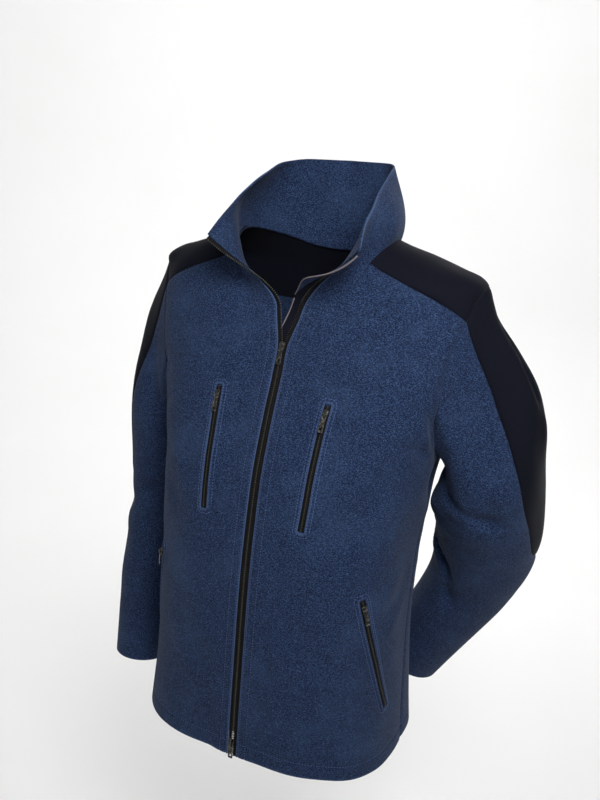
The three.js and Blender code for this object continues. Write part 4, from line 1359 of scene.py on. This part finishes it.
def on_cloth(tree, point, out):
    hit = tree.ray_cast(Vector(point + 0.02 * out), Vector(-out), 0.05)
    return np.array(hit[0]) if hit[0] is not None else np.array(tree.find_nearest(Vector(point))[0])


# %% one pocket
def outline(length, offset, count=10):
    """A rounded outline round a slit, this far from its middle line: (across, along) points."""
    corner = max(offset - 0.0032, 0.0004)
    half = offset - corner
    low, high = -SLIT_END - offset + 0.0037 + corner, length + SLIT_END + offset - 0.0037 - corner
    steps = int(length / 0.0035)
    quarter = np.linspace(0, math.pi / 2, count)
    points = [(half + corner, low + (high - low) * k / steps) for k in range(steps)]
    points += [(half + corner * math.cos(a), high + corner * math.sin(a)) for a in quarter]
    points += [(half - 2 * half * k / 4, high + corner) for k in range(1, 4)]
    points += [(-half - corner * math.sin(a), high + corner * math.cos(a)) for a in quarter]
    points += [(-half - corner, high - (high - low) * k / steps) for k in range(1, steps)]
    points += [(-half - corner * math.cos(a), low - corner * math.sin(a)) for a in quarter]
    points += [(-half + 2 * half * k / 4, low - corner) for k in range(1, 4)]
    points += [(half + corner * math.sin(a), low - corner * math.cos(a)) for a in quarter[:-1]]
    return points


class Slit:
    """A pocket's slit: turns (across, along, height) into a place on a front."""

    def __init__(self, line, tree):
        self.line = line
        self.tree = tree

    def frame(self, along):
        inside = min(max(along, 0), self.line.length())
        at = self.line.at([inside - 1e-4, inside, inside + 1e-4] if 1e-4 < inside < self.line.length() - 1e-4
                          else [max(inside - 2e-4, 0), inside, min(inside + 2e-4, self.line.length())])
        point, way = at.points[1], at.along[1]
        return point + way * (along - inside), at.across[1], at.out[1]

    def place(self, across, along, height):
        point, side, out = self.frame(along)
        return on_cloth(self.tree, point + across * side, out) + height * out

    def line_at(self, offset, height=0.0):
        points = [self.place(x, y, height) for x, y in outline(self.line.length(), offset)]
        outs = [self.frame(y)[2] for _, y in outline(self.line.length(), offset)]
        points.append(points[0])
        outs.append(outs[0])
        return Line(points, np.array(outs))


lip_stitch_lines = {"left": [], "right": []}


def pocket(name):
    side = name.split("_")[1]
    points, out = pocket_lines[name]
    line = Line(points, out).even(0.003)
    slit = Slit(line, trees[side])
    loops = [[slit.place(x, y, rise * MM) for x, y in outline(line.length(), offset * MM)]
             for offset, rise in LIP]
    lip = ring_mesh(name + "_lip", np.swapaxes(np.array(loops), 0, 1), joined=True)
    crest_highlight_and_wear = LIP_HIGHLIGHT_AND_WEAR[name.split("_")[0]]
    # the crest of the lip is painted paler: a painted highlight, and wear
    rubbed = np.tile([crest_highlight_and_wear * math.exp(-((offset - LIP_CREST) / 1.1) ** 2) for offset, _ in LIP], len(loops[0]))
    lip.attributes.new("rubbed", "FLOAT", "POINT").data.foreach_set("value", rubbed)
    piece(name + "_lip", lip, "wool")
    tape = swept(name + "_tape", line.moved(0, -COIL_WALL), box_section(**POCKET_TAPE))
    piece(name + "_zip_tape", tape, "zip_tape", replaces=(name + "_tape",))
    frames = []
    for sign in (-1, 1):
        start = POCKET_TEETH / 2 if sign > 0 else 0
        rows = line.even(POCKET_TEETH, start=start)
        seat = Line(rows.points - 0.00175 * sign * rows.across - 0.0006 * rows.out, rows.out)
        seat.across, seat.along = sign * seat.across, sign * seat.along
        frames.append(seat)
    teeth = copied(name + "_teeth", TOOTH["pocket"], frames, tip=POCKET_TIP_GLINT)
    piece(name + "_zip_teeth", teeth, "zip_coil", replaces=(name + "_chain",))
    for offset in LIP_STITCHES:
        lip_stitch_lines[side].append(slit.line_at(offset * MM, (1.75 if offset < 8 else 0.2) * MM))

for name in POCKETS:
    pocket(name)
print("pockets:", ", ".join(POCKETS))

# %% [markdown]
# ## Topstitching
# Rows of stitches hold the turned edges flat: two beside the front zip, one above the hem and two
# round each pocket. The thread is dyed to the wool, so it shows as a faint, slightly paler line.

# %% rows of stitches
STITCH_PITCH = 0.0038
STITCH_RISE = 0.0001


def seam_row(name, way, distance):
    points, out = cloths[name].column(way, distance)
    return Line(points, out)


def stitched_rows(name, lines):
    frames = []
    for line in lines:
        row = line.even(STITCH_PITCH, start=0.003, end=line.length() - 0.003)
        frames.append(row.moved(0, STITCH_RISE))
    return piece(name, copied(name, STITCH, frames), "thread")


stitch_pieces = {}
for side in ("left", "right"):
    name = "front_" + side
    lines = [seam_row(name, "near", EDGE_STITCH), seam_row(name, "near", FACING_STITCH)]
    lines += [seam_row(name, "low", HEM_STITCH)] + lip_stitch_lines[side]
    stitch_pieces[name] = stitched_rows(name + "_stitches", lines)
stitch_pieces["back"] = stitched_rows("back_stitches", [seam_row("back", "low", HEM_STITCH)])
collar_rows = [seam_row("collar", "near", EDGE_STITCH), seam_row("collar", "far", EDGE_STITCH)]
stitch_pieces["collar"] = stitched_rows("collar_stitches", collar_rows)
print("stitches:", sum(len(made.data.polygons) // len(STITCH.polygons) for made in stitch_pieces.values()))

# %% [markdown]
# ## Sliders and pulls
# Each slider and pull is set on the hinge that the cut gives it. The hinge line is across the zip,
# and the pull hangs down from it, which gives the three ways of the part. The pull rides on its own
# body, so that it swings, and the slider stays on the jacket.

# %% placing the hardware
def hinge_frame(joint):
    at = np.array(joint["pos_m"])
    across = -np.array(joint["axis"])
    low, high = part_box(joint["child"][5:] + "_pull")
    hang = (np.array(low) + np.array(high)) / 2 - at
    up = unit(-(hang - (hang @ across) * across))
    return at, np.stack([across, up, np.cross(across, up)])


def placed(name, part, at, ways):
    mesh = part.copy()
    mesh.name = name
    mesh.transform(Matrix.Translation(Vector(at)) @ Matrix(ways.tolist()).transposed().to_4x4())
    return mesh


for joint in frame["joints"]:
    key = joint["child"][5:]
    at, ways = hinge_frame(joint)
    slider_mesh = placed(key + "_slider", SLIDER, at, ways)
    pull_mesh = placed(key + "_pull", PULL, at, ways)
    piece(key + "_zip_slider", slider_mesh, "zip_metal", replaces=(key + "_slider",))
    piece(key + "_zip_pull", pull_mesh, "zip_metal", joint["child"], (key + "_pull",))

# %% [markdown]
# ## What each sheet was cut to
# A table gives each sheet of cloth the size of its pattern piece: the width and the length of the rectangle
# that it was cut from, and its own area where it is no rectangle. Each size is the piece as it lies flat,
# without the turnings inside seams. Beside it the area of each sheet as it hangs is printed.

# %% pattern pieces: width, length and area, how each is held and what it hangs from
CUT = {
    "front_left": dict(flat=(0.300, 0.675), area=0.165, held="hung", rests_on=["shoulder_yoke"]),
    "front_right": dict(flat=(0.300, 0.675), area=0.165, held="hung", rests_on=["shoulder_yoke"]),
    "back": dict(flat=(0.550, 0.630), area=0.290, held="hung", rests_on=["shoulder_yoke"]),
    "shoulder_yoke": dict(flat=(0.720, 0.155), area=0.072, held="draped"),
    "collar": dict(flat=(0.655, 0.128), area=0.054, held="draped", rests_on=["shoulder_yoke"]),
    "sleeve_left": dict(flat=(0.418, 0.720), area=0.174, held="hung", rests_on=["shoulder_yoke"]),
    "sleeve_left_panel": dict(flat=(0.170, 0.480), area=0.056, held="hung", rests_on=["shoulder_yoke"]),
    "sleeve_right": dict(flat=(0.418, 0.655), area=0.150, held="hung", rests_on=["shoulder_yoke"]),
    "sleeve_right_panel": dict(flat=(0.160, 0.440), area=0.050, held="hung", rests_on=["shoulder_yoke"]),
    "wind_flap": dict(flat=(0.032, 0.710), area=0.019, held="hung", rests_on=["front_left"]),
    "collar_facing": dict(flat=(0.011, 0.128), area=0.0010, held="hung", rests_on=["collar"]),
}
for name, given in CUT.items():
    area = sum(face.area for face in pieces[name].data.polygons) / 2
    print(name, "cut", given["flat"], "area", given["area"], "as it hangs", round(area, 4))
